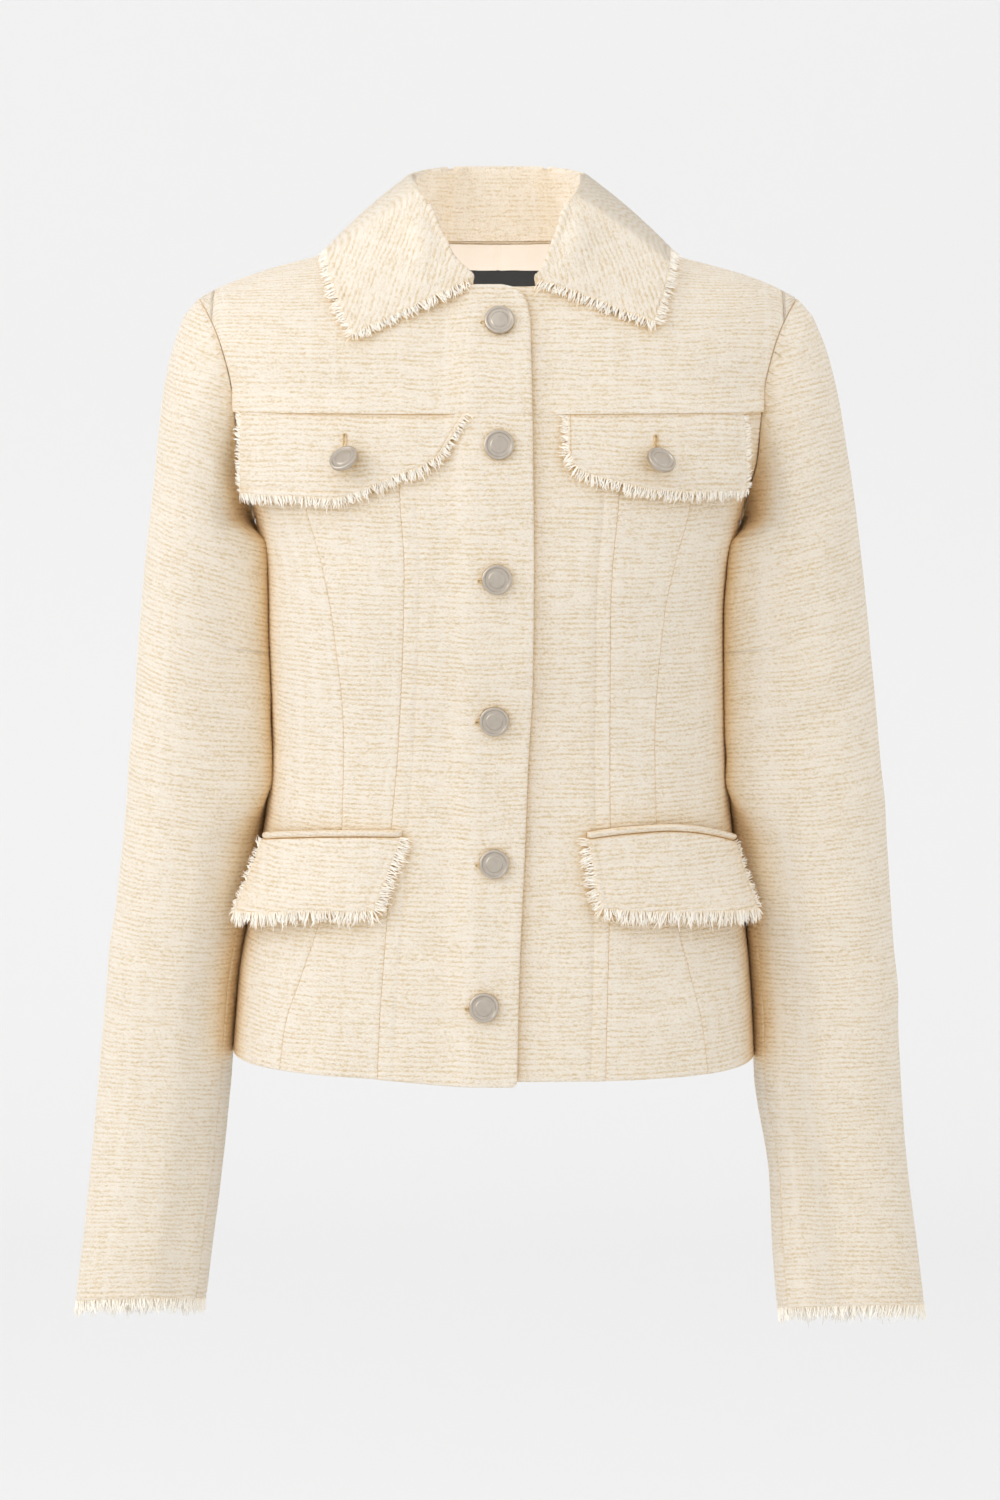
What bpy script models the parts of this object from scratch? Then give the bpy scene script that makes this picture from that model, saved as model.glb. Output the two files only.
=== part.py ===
"""Cropped tweed jacket, buttoned, in the hollow form it has when worn.

Metres, +Z up. The front faces -Y and the wearer's right is at -X. The origin is in the middle
of the neck's base, level with the shoulder tips, where the wearer's shoulders hold it up.
"""

from collections import namedtuple
from math import atan2, cos, pi, radians, sin, sqrt
from random import Random

import bmesh
import bpy
from mathutils import Vector
from mathutils.bvhtree import BVHTree

for old_object in list(bpy.data.objects):
    bpy.data.objects.remove(old_object, do_unlink=True)


# ---------------------------------------------------------------- driving sizes

CLOTH_WALL = 0.0025
EDGE_WALL = 0.0035  # the lapping front edge is turned back on itself
LINING_WALL = 0.0010
SEAM_GAP = 0.0003
HALF_GAP = SEAM_GAP / 2
LAID_GAP = SEAM_GAP + 0.0002  # between a panel and what is laid on it

SHOULDER_TIP_Z = 0.0
PIT_Z = -0.139
CHEST_SEAM_Z = (SHOULDER_TIP_Z + PIT_Z) / 2  # the yokes end half way down the armholes
HEM_Z = -0.485
NECK_SIDE_X = 0.0655
NECK_SIDE_Z = 0.040
NECK_FRONT_Z = 0.008
NECK_BACK_Z = 0.035
NECK_FLAT_X = 0.015  # the front neck edge is level this far out
ROUNDING = 0.060  # height over which front and back turn over the shoulder
SECTION_POWER = 2.5  # 2 is an ellipse, more is squarer

LAP_LIFT = EDGE_WALL + 0.0010
LAP_START_X = -0.034
LAP_FULL_X = -0.0145
UNDERLAP_X = -0.0125
LAP_CORNER_X = 0.004
LAP_HEM_CORNER = 0.005

FRONT, BACK = -1, 1
RIGHT, LEFT = -1, 1
SIDE_NAMES = {RIGHT: "right", LEFT: "left"}


# ---------------------------------------------------------------- tables of the form

Level = namedtuple("Level", "height half_right half_left front back")
TORSO = (
    Level(-0.500, 0.1722, 0.1655, 0.1140, 0.1200),
    Level(-0.480, 0.1711, 0.1646, 0.1135, 0.1190),
    Level(-0.428, 0.1662, 0.1617, 0.1105, 0.1140),
    Level(-0.392, 0.1595, 0.1582, 0.1080, 0.1090),
    Level(-0.345, 0.1514, 0.1508, 0.1045, 0.1010),
    Level(-0.320, 0.1480, 0.1487, 0.1035, 0.0970),
    Level(-0.285, 0.1459, 0.1472, 0.1035, 0.0940),
    Level(-0.256, 0.1463, 0.1464, 0.1065, 0.0960),
    Level(-0.198, 0.1478, 0.1453, 0.1165, 0.1040),
    Level(-0.170, 0.1486, 0.1471, 0.1185, 0.1070),
    Level(-0.139, 0.1540, 0.1540, 0.1175, 0.1090),
    Level(-0.120, 0.1595, 0.1590, 0.1160, 0.1090),
    Level(-0.100, 0.1695, 0.1695, 0.1130, 0.1080),
    Level(-0.075, 0.1780, 0.1780, 0.1085, 0.1060),
    Level(-0.050, 0.1840, 0.1840, 0.1020, 0.1030),
    Level(-0.020, 0.1920, 0.1920, 0.0915, 0.0975),
    Level(0.000, 0.1945, 0.1945, 0.0820, 0.0920),
    Level(0.030, 0.1980, 0.1980, 0.0720, 0.0860),
    Level(0.060, 0.2000, 0.2000, 0.0620, 0.0800),
)

Ridge = namedtuple("Ridge", "out height")
SHOULDER_LINE = (
    Ridge(0.0000, 0.115),
    Ridge(0.0400, 0.085),
    Ridge(NECK_SIDE_X, NECK_SIDE_Z),
    Ridge(0.1090, 0.027),
    Ridge(0.1510, 0.016),
    Ridge(0.1700, 0.009),
    Ridge(0.1885, SHOULDER_TIP_Z),
)

Armhole = namedtuple("Armhole", "height out")
ARMHOLE = (
    Armhole(PIT_Z, 0.1540),
    Armhole(-0.1297, 0.1553),
    Armhole(-0.1187, 0.1575),
    Armhole(-0.1000, 0.1612),
    Armhole(-0.0770, 0.1628),
    Armhole(-0.0560, 0.1650),
    Armhole(-0.0320, 0.1712),
    Armhole(-0.0170, 0.1775),
    Armhole(-0.0070, 0.1835),
    Armhole(SHOULDER_TIP_Z, 0.1885),
)

Seam = namedtuple("Seam", "height right left")
INNER_SEAM = (
    Seam(-0.485, 0.0750, 0.0668),
    Seam(-0.441, 0.0731, 0.0678),
    Seam(-0.385, 0.0690, 0.0691),
    Seam(-0.330, 0.0661, 0.0697),
    Seam(-0.276, 0.0617, 0.0692),
    Seam(-0.192, 0.0576, 0.0690),
    Seam(-0.163, 0.0571, 0.0700),
    Seam(-0.123, 0.0595, 0.0738),
    Seam(-0.069, 0.0625, 0.0760),
)
OUTER_SEAM = (
    Seam(-0.485, 0.1380, 0.1320),
    Seam(-0.452, 0.1333, 0.1280),
    Seam(-0.420, 0.1230, 0.1205),
    Seam(-0.390, 0.1128, 0.1128),
    Seam(-0.330, 0.0970, 0.0990),
    Seam(-0.270, 0.0956, 0.0976),
    Seam(-0.194, 0.1025, 0.1025),
    Seam(-0.163, 0.1086, 0.1086),
    Seam(-0.125, 0.1184, 0.1184),
    Seam(-0.069, 0.1240, 0.1240),
)
BACK_SEAM = (
    Seam(-0.485, 0.0880, 0.0880),
    Seam(-0.380, 0.0730, 0.0730),
    Seam(-0.270, 0.0640, 0.0640),
    Seam(-0.180, 0.0720, 0.0720),
    Seam(-0.069, 0.0960, 0.0960),
)

HemPoint = namedtuple("HemPoint", "out right left")
HEM_RISE = (
    HemPoint(0.000, 0.0010, 0.0040),
    HemPoint(0.030, 0.0010, 0.0037),
    HemPoint(0.060, 0.0030, 0.0033),
    HemPoint(0.090, 0.0045, 0.0030),
    HemPoint(0.170, 0.0045, 0.0015),
)

Edge = namedtuple("Edge", "height across")
FRONT_EDGE = (
    Edge(-0.485, 0.0117),
    Edge(-0.406, 0.0136),
    Edge(-0.344, 0.0164),
    Edge(-0.286, 0.0185),
    Edge(-0.231, 0.0212),
    Edge(-0.157, 0.0218),
    Edge(-0.069, 0.0210),
    Edge(-0.0115, 0.0198),
)


def read(rows, along, name, at):
    """One column of a table, on a smooth curve through its rows that never overshoots them."""
    places = [getattr(row, along) for row in rows]
    values = [getattr(row, name) for row in rows]
    if at <= places[0]:
        return values[0]
    if at >= places[-1]:
        return values[-1]
    i = max(k for k, place in enumerate(places[:-1]) if place <= at)
    steps = [b - a for a, b in zip(places, places[1:])]
    slopes = [(b - a) / step for a, b, step in zip(values, values[1:], steps)]

    def slope_at(k):
        if k == 0 or k == len(slopes):
            return slopes[max(k - 1, 0)]
        before, after = slopes[k - 1], slopes[k]
        if before * after <= 0:
            return 0.0
        return 2 * before * after / (before + after)

    step = steps[i]
    t = (at - places[i]) / step
    return (
        values[i] * (1 + 2 * t) * (1 - t) ** 2
        + values[i + 1] * t * t * (3 - 2 * t)
        + step * slope_at(i) * t * (1 - t) ** 2
        - step * slope_at(i + 1) * t * t * (1 - t)
    )


def ramp(low, high, value):
    """0 below low, 1 above high and a smooth rise between them."""
    t = min(max((value - low) / (high - low), 0.0), 1.0)
    return t * t * (3 - 2 * t)


def mix(a, b, t):
    return a + (b - a) * t


# ---------------------------------------------------------------- the skin that all panels lie on

Place = namedtuple("Place", "point normal")


def half_width(x, z):
    return read(TORSO, "height", "half_left" if x > 0 else "half_right", z)


def shoulder_height(x):
    return read(SHOULDER_LINE, "out", "height", abs(x))


def skin_y(x, z, face, widen=0.0):
    """Depth of the front (face -1) or back (face 1) where it is seen at x and z."""
    ratio = min(abs(x) / (half_width(x, z) + widen), 0.99999)
    depth = read(TORSO, "height", "front" if face == FRONT else "back", z)
    section = depth * (1 - ratio**SECTION_POWER) ** (1 / SECTION_POWER)
    drop = min(max(shoulder_height(x) - z, 0.0) / ROUNDING, 1.0)
    return face * max(section * sqrt(1 - (1 - drop) ** 2), HALF_GAP)


def skin(x, z, face, widen=0.0):
    """A place on the front or back skin, with the direction that points out of the garment."""
    step = 0.00001
    towards = -step if x > 0 else step
    y = skin_y(x, z, face, widen)
    slope_x = (skin_y(x + towards, z, face, widen) - y) / towards
    slope_z = (y - skin_y(x, z - step, face, widen)) / step
    normal = Vector((-slope_x, 1.0, -slope_z)) * face
    return Place(Vector((x, y, z)), normal.normalized())


def ring_point(bearing, z):
    x, y = cos(bearing), sin(bearing)
    half = half_width(x, z)
    depth = read(TORSO, "height", "front" if y < 0 else "back", z)
    reach = ((abs(x) / half) ** SECTION_POWER + (abs(y) / depth) ** SECTION_POWER) ** (-1 / SECTION_POWER)
    return Vector((x * reach, y * reach, z))


def ring(bearing, z):
    """A place on the closed section at z, in the direction bearing from its middle."""
    turn, step = 0.0005, 0.0002
    point = ring_point(bearing, z)
    along = ring_point(bearing + turn, z) - ring_point(bearing - turn, z)
    up = ring_point(bearing, z + step) - ring_point(bearing, z - step)
    return Place(point, along.cross(up).normalized())


def bearing_of(x, z, face):
    return atan2(skin_y(x, z, face), x)


def raised(place, height):
    return Place(place.point + place.normal * height, place.normal)


def armhole_x(z):
    return read(ARMHOLE, "height", "out", z)


def armhole_heights(steps):
    """Heights down an armhole, closer together at its top and its bottom."""
    middle = (SHOULDER_TIP_Z + PIT_Z) / 2
    reach = (SHOULDER_TIP_Z - PIT_Z) / 2
    return [middle + reach * cos(pi * k / steps) for k in range(steps + 1)]


ARMHOLE_STEPS = 12
ARMHOLE_LEVELS = armhole_heights(ARMHOLE_STEPS)
LOWER_LEVELS = (-0.175, -0.210, -0.250, -0.285, -0.310, -0.330, -0.350, -0.375, -0.410, -0.450, HEM_Z)
SIDE_LEVELS = ARMHOLE_LEVELS[ARMHOLE_STEPS // 2 :] + list(LOWER_LEVELS)
PLAIN_LEVELS = ARMHOLE_LEVELS[ARMHOLE_STEPS // 2 :: 3] + list(LOWER_LEVELS)


HEM_TURN_Z = HEM_Z + 0.010


def lap_lift(x):
    return LAP_LIFT * ramp(LAP_START_X, LAP_FULL_X, x)


# ---------------------------------------------------------------- materials

TWEED_COLOUR = (0.93, 0.85, 0.70, 1.0)
FRINGE_COLOUR = (0.93, 0.89, 0.80, 1.0)
LINING_COLOUR = (0.86, 0.77, 0.62, 1.0)
LABEL_COLOUR = (0.02, 0.02, 0.02, 1.0)
METAL_COLOUR = (0.52, 0.47, 0.41, 1.0)


def new_material(name, colour, roughness, metallic=0.0):
    material = bpy.data.materials.new(name)
    material.use_nodes = True
    shader = material.node_tree.nodes["Principled BSDF"]
    shader.inputs["Base Color"].default_value = colour
    shader.inputs["Roughness"].default_value = roughness
    shader.inputs["Metallic"].default_value = metallic
    return material


TWEED = new_material("cream_tweed", TWEED_COLOUR, 0.95)
FRAYED = new_material("frayed_yarn", FRINGE_COLOUR, 0.95)
LINING = new_material("cream_lining", LINING_COLOUR, 0.6)
LABEL = new_material("black_label", LABEL_COLOUR, 0.7)
METAL = new_material("satin_nickel", METAL_COLOUR, 0.35, 1.0)


# ---------------------------------------------------------------- meshes


def finish(name, body, material, sharp=40):
    """Closes a bmesh into an object with outward faces."""
    bmesh.ops.recalc_face_normals(body, faces=body.faces)
    mesh = bpy.data.meshes.new(name)
    body.to_mesh(mesh)
    body.free()
    mesh.materials.append(material)
    mesh.shade_smooth()
    mesh.set_sharp_from_angle(angle=radians(sharp))
    thing = bpy.data.objects.new(name, mesh)
    bpy.context.collection.objects.link(thing)
    return thing


def cloth(name, rows, wall=CLOTH_WALL, material=None):
    """A closed wall of cloth: its outer side passes through rows of places, its inner side
    lies one wall further in. wall may be a function of the outer point."""
    body = bmesh.new()
    outer, inner = [], []
    for row in rows:
        outer.append([body.verts.new(place.point) for place in row])
        inner.append([])
        for place in row:
            depth = wall(place.point) if callable(wall) else wall
            inner[-1].append(body.verts.new(place.point - place.normal * depth))
    last_row, last_column = len(rows) - 1, len(rows[0]) - 1
    for j in range(last_row):
        for i in range(last_column):
            for side in (outer, inner):
                body.faces.new((side[j][i], side[j][i + 1], side[j + 1][i + 1], side[j + 1][i]))
        for i in (0, last_column):
            body.faces.new((outer[j][i], outer[j + 1][i], inner[j + 1][i], inner[j][i]))
    for i in range(last_column):
        for j in (0, last_row):
            body.faces.new((outer[j][i], outer[j][i + 1], inner[j][i + 1], inner[j][i]))
    return finish(name, body, material or TWEED)


def spaced(start, end, steps):
    return [mix(start, end, k / steps) for k in range(steps + 1)]


# ---------------------------------------------------------------- panels below the chest seam


BACK_HEM_LEVEL_X = 0.05
BACK_HEM_RISEN_X = 0.15


def hem_rise(point, side):
    """How far the hem lies above its lowest height. Towards the back's middle it is level."""
    rise = read(HEM_RISE, "out", SIDE_NAMES[side], abs(point.x))
    return rise if point.y < 0 else rise * ramp(BACK_HEM_LEVEL_X, BACK_HEM_RISEN_X, abs(point.x))


def ring_panel(name, side, levels, start_edge, end_edge, columns, lift=None, wall=CLOTH_WALL):
    """A panel between two edges, each a function from height to a bearing."""
    rows = []
    for z in levels:
        start, end = start_edge(z), end_edge(z)
        row = []
        for bearing in spaced(start, end, columns):
            rise = hem_rise(ring_point(bearing, z), side) if z < HEM_TURN_Z else 0.0
            place = ring(bearing, z + rise)
            row.append(raised(place, lift(place.point.x)) if lift else place)
        rows.append(row)
    cloth(name, rows, wall)


def seam_edge(table, side, face, shift):
    """The edge of a panel along a seam, shifted sideways by half the gap."""
    column = SIDE_NAMES[side]

    def edge(z):
        x = side * (read(table, "height", column, z) + shift)
        return bearing_of(x, z, face)

    return edge


HALF_DEPTH = 0.110  # front to middle at the armhole's height


def side_edge(side, face):
    """The edge of a side panel: the armhole down to the pit, then the side seam."""

    def edge(z):
        bearing = face * HALF_GAP / half_width(side, z)
        if z > PIT_Z:
            x = side * (armhole_x(z) - HALF_GAP)
            arm = bearing_of(x, z, face)
            arm = arm if side > 0 else face * (pi - abs(arm))
            bearing = face * max(abs(bearing), abs(arm) - HALF_GAP / HALF_DEPTH)
        return bearing if side > 0 else face * pi - bearing

    return edge


def levels_below(seam_z, levels):
    inside = [z for z in levels if HEM_Z < z < seam_z - HALF_GAP]
    return [seam_z - HALF_GAP] + inside + [HEM_Z]


for side in (RIGHT, LEFT):
    word = SIDE_NAMES[side]
    ring_panel(
        "front_side_" + word,
        side,
        levels_below(CHEST_SEAM_Z, SIDE_LEVELS),
        seam_edge(OUTER_SEAM, side, FRONT, HALF_GAP),
        side_edge(side, FRONT),
        columns=4,
    )
    ring_panel(
        "front_middle_" + word,
        side,
        levels_below(CHEST_SEAM_Z, SIDE_LEVELS),
        seam_edge(INNER_SEAM, side, FRONT, HALF_GAP),
        seam_edge(OUTER_SEAM, side, FRONT, -HALF_GAP),
        columns=3,
    )
    ring_panel(
        "back_side_" + word,
        side,
        levels_below(CHEST_SEAM_Z, SIDE_LEVELS),
        seam_edge(BACK_SEAM, side, BACK, HALF_GAP),
        side_edge(side, BACK),
        columns=5,
    )

ring_panel(
    "back_centre",
    RIGHT,
    levels_below(CHEST_SEAM_Z, PLAIN_LEVELS),
    seam_edge(BACK_SEAM, RIGHT, BACK, -HALF_GAP),
    seam_edge(BACK_SEAM, LEFT, BACK, -HALF_GAP),
    columns=8,
)


def lap_edge(z):
    """The free edge of the lapping front, with a rounded bottom corner."""
    rise = min(max((z - HEM_Z) / LAP_HEM_CORNER, 0.0), 1.0)
    cut = LAP_HEM_CORNER * (1 - sqrt(1 - (1 - rise) ** 2))
    return bearing_of(read(FRONT_EDGE, "height", "across", z) - cut, z, FRONT)


def lap_wall(point):
    return mix(CLOTH_WALL, EDGE_WALL, ramp(LAP_START_X, LAP_FULL_X, point.x))


LAP_LEVELS = PLAIN_LEVELS[:-1] + [HEM_Z + LAP_HEM_CORNER, HEM_Z + 0.3 * LAP_HEM_CORNER]

ring_panel(
    "front_centre_right",
    RIGHT,
    levels_below(CHEST_SEAM_Z, LAP_LEVELS),
    seam_edge(INNER_SEAM, RIGHT, FRONT, -HALF_GAP),
    lap_edge,
    columns=6,
    lift=lap_lift,
    wall=lap_wall,
)
ring_panel(
    "front_centre_left",
    LEFT,
    levels_below(CHEST_SEAM_Z, PLAIN_LEVELS),
    lambda z: bearing_of(UNDERLAP_X, z, FRONT),
    seam_edge(INNER_SEAM, LEFT, FRONT, -HALF_GAP),
    columns=4,
)


# ---------------------------------------------------------------- yokes over the shoulders


def neck_z(x, face):
    """Height of the neck edge on the front or back."""
    if face == BACK:
        t = min(abs(x) / NECK_SIDE_X, 1.0)
        return NECK_SIDE_Z - (NECK_SIDE_Z - NECK_BACK_Z) * sqrt(1 - t * t)
    t = min(max(abs(x) - NECK_FLAT_X, 0.0) / (NECK_SIDE_X - NECK_FLAT_X), 1.0)
    return NECK_SIDE_Z - (NECK_SIDE_Z - NECK_FRONT_Z) * sqrt(1 - t * t)


def coons(bottom, top, start, end):
    """A grid of flat points that fills the four sides given, each a list of (x, z)."""
    columns, rows = len(bottom) - 1, len(start) - 1
    grid = []
    for j in range(rows + 1):
        v = j / rows
        row = []
        for i in range(columns + 1):
            u = i / columns
            point = []
            for k in (0, 1):
                sides = mix(bottom[i][k], top[i][k], v) + mix(start[j][k], end[j][k], u)
                corners = mix(mix(bottom[0][k], bottom[-1][k], u), mix(top[0][k], top[-1][k], u), v)
                point.append(sides - corners)
            row.append(point)
        grid.append(row)
    return grid


def armhole_side(side):
    """The armhole edge of a yoke, from the chest seam to the shoulder tip."""
    heights = ARMHOLE_LEVELS[ARMHOLE_STEPS // 2 :: -1]
    points = [(side * (armhole_x(z) - HALF_GAP), z) for z in heights]
    points[0] = (points[0][0], CHEST_SEAM_Z + HALF_GAP)
    points[-1] = (points[-1][0], shoulder_height(points[-1][0]))
    return points


SHOULDER_COLUMNS = 4
NECK_COLUMNS = 5


def shoulder_top(side):
    """Shoulder seam from the tip to the side of the neck."""
    tip = armhole_x(SHOULDER_TIP_Z) - HALF_GAP
    return [(side * x, shoulder_height(x)) for x in spaced(tip, NECK_SIDE_X, SHOULDER_COLUMNS)]


def neck_arc(side, face, end_x):
    """Neck edge from the side of the neck round to end_x, evenly by angle."""
    flat = NECK_FLAT_X if face == FRONT else 0.0
    points = []
    for k in range(1, NECK_COLUMNS + 1):
        angle = pi / 2 * (1 - k / NECK_COLUMNS)
        x = side * (flat + (NECK_SIDE_X - flat) * sin(angle))
        points.append((x, neck_z(x, face)))
    if face == FRONT:
        points.append((end_x, NECK_FRONT_Z))
    return points


FlapBulge = namedtuple("FlapBulge", "start full_start full_end end")
BULGE_RIGHT = FlapBulge(-0.190, -0.150, -0.034, -0.018)
BULGE_LEFT = FlapBulge(0.030, 0.048, 0.150, 0.190)
BULGE_HEIGHT = 0.018
FLAP_LIFT = CLOTH_WALL + LAID_GAP


def yoke_bulge(x, z, span):
    """The yoke stands out over the top of a chest flap, so that the two are flush."""
    along = ramp(span.start, span.full_start, x) * (1 - ramp(span.full_end, span.end, x))
    return FLAP_LIFT * along * (1 - ramp(CHEST_SEAM_Z, CHEST_SEAM_Z + BULGE_HEIGHT, z))


def yoke(name, grid, face, lift, wall=CLOTH_WALL):
    rows = []
    for line in grid:
        rows.append([raised(skin(x, z, face), lift(x, z)) for x, z in line])
    cloth(name, rows, wall)
    return rows


YOKE_BOTTOM_Z = CHEST_SEAM_Z + HALF_GAP

# The lapping front's yoke ends in a rounded top corner.
LAP_CORNER = ((0.0120, 0.0055), (0.0172, -0.0015), (0.0195, -0.0105))


def right_yoke_grid():
    top = shoulder_top(RIGHT) + neck_arc(RIGHT, FRONT, LAP_CORNER_X) + list(LAP_CORNER)
    start = armhole_side(RIGHT)
    corner = top[-1]
    rows = len(start) - 1
    end = []
    for j in range(rows + 1):
        z = mix(YOKE_BOTTOM_Z, corner[1], j / rows)
        end.append((read(FRONT_EDGE, "height", "across", z), z))
    end[-1] = corner
    bottom = [(mix(start[0][0], end[0][0], i / (len(top) - 1)), YOKE_BOTTOM_Z) for i in range(len(top))]
    return coons(bottom, top, start, end)


def left_yoke_grid():
    top = shoulder_top(LEFT) + neck_arc(LEFT, FRONT, UNDERLAP_X)
    start = armhole_side(LEFT)
    rows = len(start) - 1
    end = [(UNDERLAP_X, mix(YOKE_BOTTOM_Z, NECK_FRONT_Z, j / rows)) for j in range(rows + 1)]
    bottom = [(mix(start[0][0], UNDERLAP_X, i / (len(top) - 1)), YOKE_BOTTOM_Z) for i in range(len(top))]
    return coons(bottom, top, start, end)


def back_yoke_grid():
    half = shoulder_top(RIGHT) + neck_arc(RIGHT, BACK, 0.0)
    top = half + [(-x, z) for x, z in reversed(half[:-1])]
    start = armhole_side(RIGHT)
    end = armhole_side(LEFT)
    bottom = [(mix(start[0][0], end[0][0], i / (len(top) - 1)), YOKE_BOTTOM_Z) for i in range(len(top))]
    return coons(bottom, top, start, end)


yoke(
    "front_yoke_right",
    right_yoke_grid(),
    FRONT,
    lambda x, z: lap_lift(x) + yoke_bulge(x, z, BULGE_RIGHT),
    wall=lap_wall,
)
yoke("front_yoke_left", left_yoke_grid(), FRONT, lambda x, z: yoke_bulge(x, z, BULGE_LEFT))
BACK_YOKE_PLACES = yoke("back_yoke", back_yoke_grid(), BACK, lambda x, z: 0.0)


# ---------------------------------------------------------------- sleeves

SleeveRing = namedtuple("SleeveRing", "outer_x outer_z inner_x inner_z half_depth forward own")
SLEEVE_RIGHT = (
    SleeveRing(0.1988, -0.012, 0.1562, -0.1415, 0.0585, 0.000, 0.30),
    SleeveRing(0.2055, -0.031, 0.1568, -0.1450, 0.0600, 0.000, 0.60),
    SleeveRing(0.2115, -0.058, 0.1560, -0.1500, 0.0610, -0.001, 0.85),
    SleeveRing(0.2150, -0.088, 0.1530, -0.1580, 0.0615, -0.002, 1.00),
    SleeveRing(0.2182, -0.118, 0.1508, -0.1720, 0.0615, -0.003, 1.00),
    SleeveRing(0.2230, -0.155, 0.1494, -0.1930, 0.0610, -0.004, 1.00),
    SleeveRing(0.2280, -0.203, 0.1485, -0.2260, 0.0590, -0.005, 1.00),
    SleeveRing(0.2335, -0.271, 0.1475, -0.2840, 0.0550, -0.004, 1.00),
    SleeveRing(0.2390, -0.335, 0.1524, -0.3420, 0.0500, 0.000, 1.00),
    SleeveRing(0.2455, -0.393, 0.1618, -0.3980, 0.0460, 0.005, 1.00),
    SleeveRing(0.2520, -0.448, 0.1700, -0.4520, 0.0420, 0.010, 1.00),
    SleeveRing(0.2568, -0.500, 0.1738, -0.5030, 0.0390, 0.014, 1.00),
    SleeveRing(0.2618, -0.552, 0.1775, -0.5540, 0.0360, 0.018, 1.00),
    SleeveRing(0.2676, -0.606, 0.1840, -0.6060, 0.0335, 0.021, 1.00),
    SleeveRing(0.2722, -0.6435, 0.1884, -0.6425, 0.0320, 0.023, 1.00),
)
SLEEVE_LEFT = (
    SleeveRing(0.1992, -0.012, 0.1558, -0.1415, 0.0585, 0.000, 0.30),
    SleeveRing(0.2072, -0.031, 0.1562, -0.1450, 0.0600, 0.000, 0.60),
    SleeveRing(0.2145, -0.058, 0.1552, -0.1500, 0.0610, -0.001, 0.85),
    SleeveRing(0.2200, -0.088, 0.1522, -0.1580, 0.0615, -0.002, 1.00),
    SleeveRing(0.2250, -0.118, 0.1494, -0.1720, 0.0615, -0.003, 1.00),
    SleeveRing(0.2300, -0.155, 0.1474, -0.1930, 0.0610, -0.004, 1.00),
    SleeveRing(0.2355, -0.203, 0.1470, -0.2260, 0.0590, -0.005, 1.00),
    SleeveRing(0.2424, -0.271, 0.1484, -0.2840, 0.0550, -0.004, 1.00),
    SleeveRing(0.2480, -0.335, 0.1520, -0.3420, 0.0500, 0.000, 1.00),
    SleeveRing(0.2522, -0.393, 0.1604, -0.3980, 0.0460, 0.005, 1.00),
    SleeveRing(0.2560, -0.448, 0.1652, -0.4520, 0.0420, 0.010, 1.00),
    SleeveRing(0.2588, -0.500, 0.1674, -0.5030, 0.0390, 0.014, 1.00),
    SleeveRing(0.2628, -0.552, 0.1737, -0.5540, 0.0360, 0.018, 1.00),
    SleeveRing(0.2700, -0.607, 0.1767, -0.6085, 0.0335, 0.021, 1.00),
    SleeveRing(0.2752, -0.6465, 0.1804, -0.6485, 0.0320, 0.023, 1.00),
)
CUFF_TILT = 0.0090  # the cuff's front lies higher than its sides, and its back lower
ARMHOLE_HALF_DEPTH = 0.057
SLEEVE_POWER = 2.3
FOREARM_SEAM = radians(150)
HINDARM_SEAM = radians(240)
SLEEVE_STEP = pi / ARMHOLE_STEPS
SLEEVE_HALF_WIDTH = 0.045
NEAR_ANGLE = 0.02  # for directions round a section
CUFF_TILT_FROM_Z = -0.30
CUFF_TILT_FULL_Z = -0.64

# Each sleeve rests against the body: the front of its inner side is pressed to the body's form.
NESTLE_GAP = 0.0008
NESTLE_START = radians(95)
NESTLE_FULL = radians(140)
NESTLE_END = radians(200)
NESTLE_TOP_Z = -0.139
NESTLE_HIGH_Z = -0.176
NESTLE_LOW_Z = -0.290
NESTLE_FOOT_Z = -0.332


def signed_power(value, power):
    return abs(value) ** power * (1 if value >= 0 else -1)


def nestled(point, side, angle):
    """The point moved towards the body where the sleeve is pressed against it."""
    around = ramp(NESTLE_START, NESTLE_FULL, angle) * (1 - ramp(pi, NESTLE_END, angle))
    down = ramp(-NESTLE_TOP_Z, -NESTLE_HIGH_Z, -point.z)
    down *= 1 - ramp(-NESTLE_LOW_Z, -NESTLE_FOOT_Z, -point.z)
    if around * down == 0:
        return point
    depth = read(TORSO, "height", "front" if point.y < 0 else "back", point.z)
    share = (1 - (abs(point.y) / depth) ** SECTION_POWER) ** (1 / SECTION_POWER)
    body = half_width(side, point.z) * share + NESTLE_GAP
    x = mix(abs(point.x), min(abs(point.x), body), around * down)
    return Vector((side * x, point.y, point.z))


def oval(row, side, angle):
    """A point on a sleeve section. Angle 0 is its outer side and 90 degrees its front."""
    angle = angle % (2 * pi)
    outer = Vector((side * row.outer_x, -row.forward, row.outer_z))
    inner = Vector((side * row.inner_x, -row.forward, row.inner_z))
    across = signed_power(cos(angle), 2 / SLEEVE_POWER)
    ahead = signed_power(sin(angle), 2 / SLEEVE_POWER)
    middle, reach = (outer + inner) / 2, (outer - inner) / 2
    tilt = CUFF_TILT * ramp(-CUFF_TILT_FROM_Z, -CUFF_TILT_FULL_Z, -middle.z)
    point = middle + reach * across + Vector((0, -row.half_depth * ahead, tilt * ahead))
    return nestled(point, side, angle)


def armhole_point(side, angle):
    """The armhole's own edge, on the outer skin."""
    z = (SHOULDER_TIP_Z + PIT_Z) / 2 + (SHOULDER_TIP_Z - PIT_Z) / 2 * cos(angle)
    face = FRONT if sin(angle) >= 0 else BACK
    x = side * armhole_x(z)
    if z <= PIT_Z + 1e-6:
        return Place(Vector((x, 0, z)), Vector((side, 0, 0)))
    place = skin(x, z, face)
    if abs(sin(angle)) < 0.01:
        return Place(Vector((x, 0, z)), Vector((0, 0, 1)))
    return place


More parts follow.
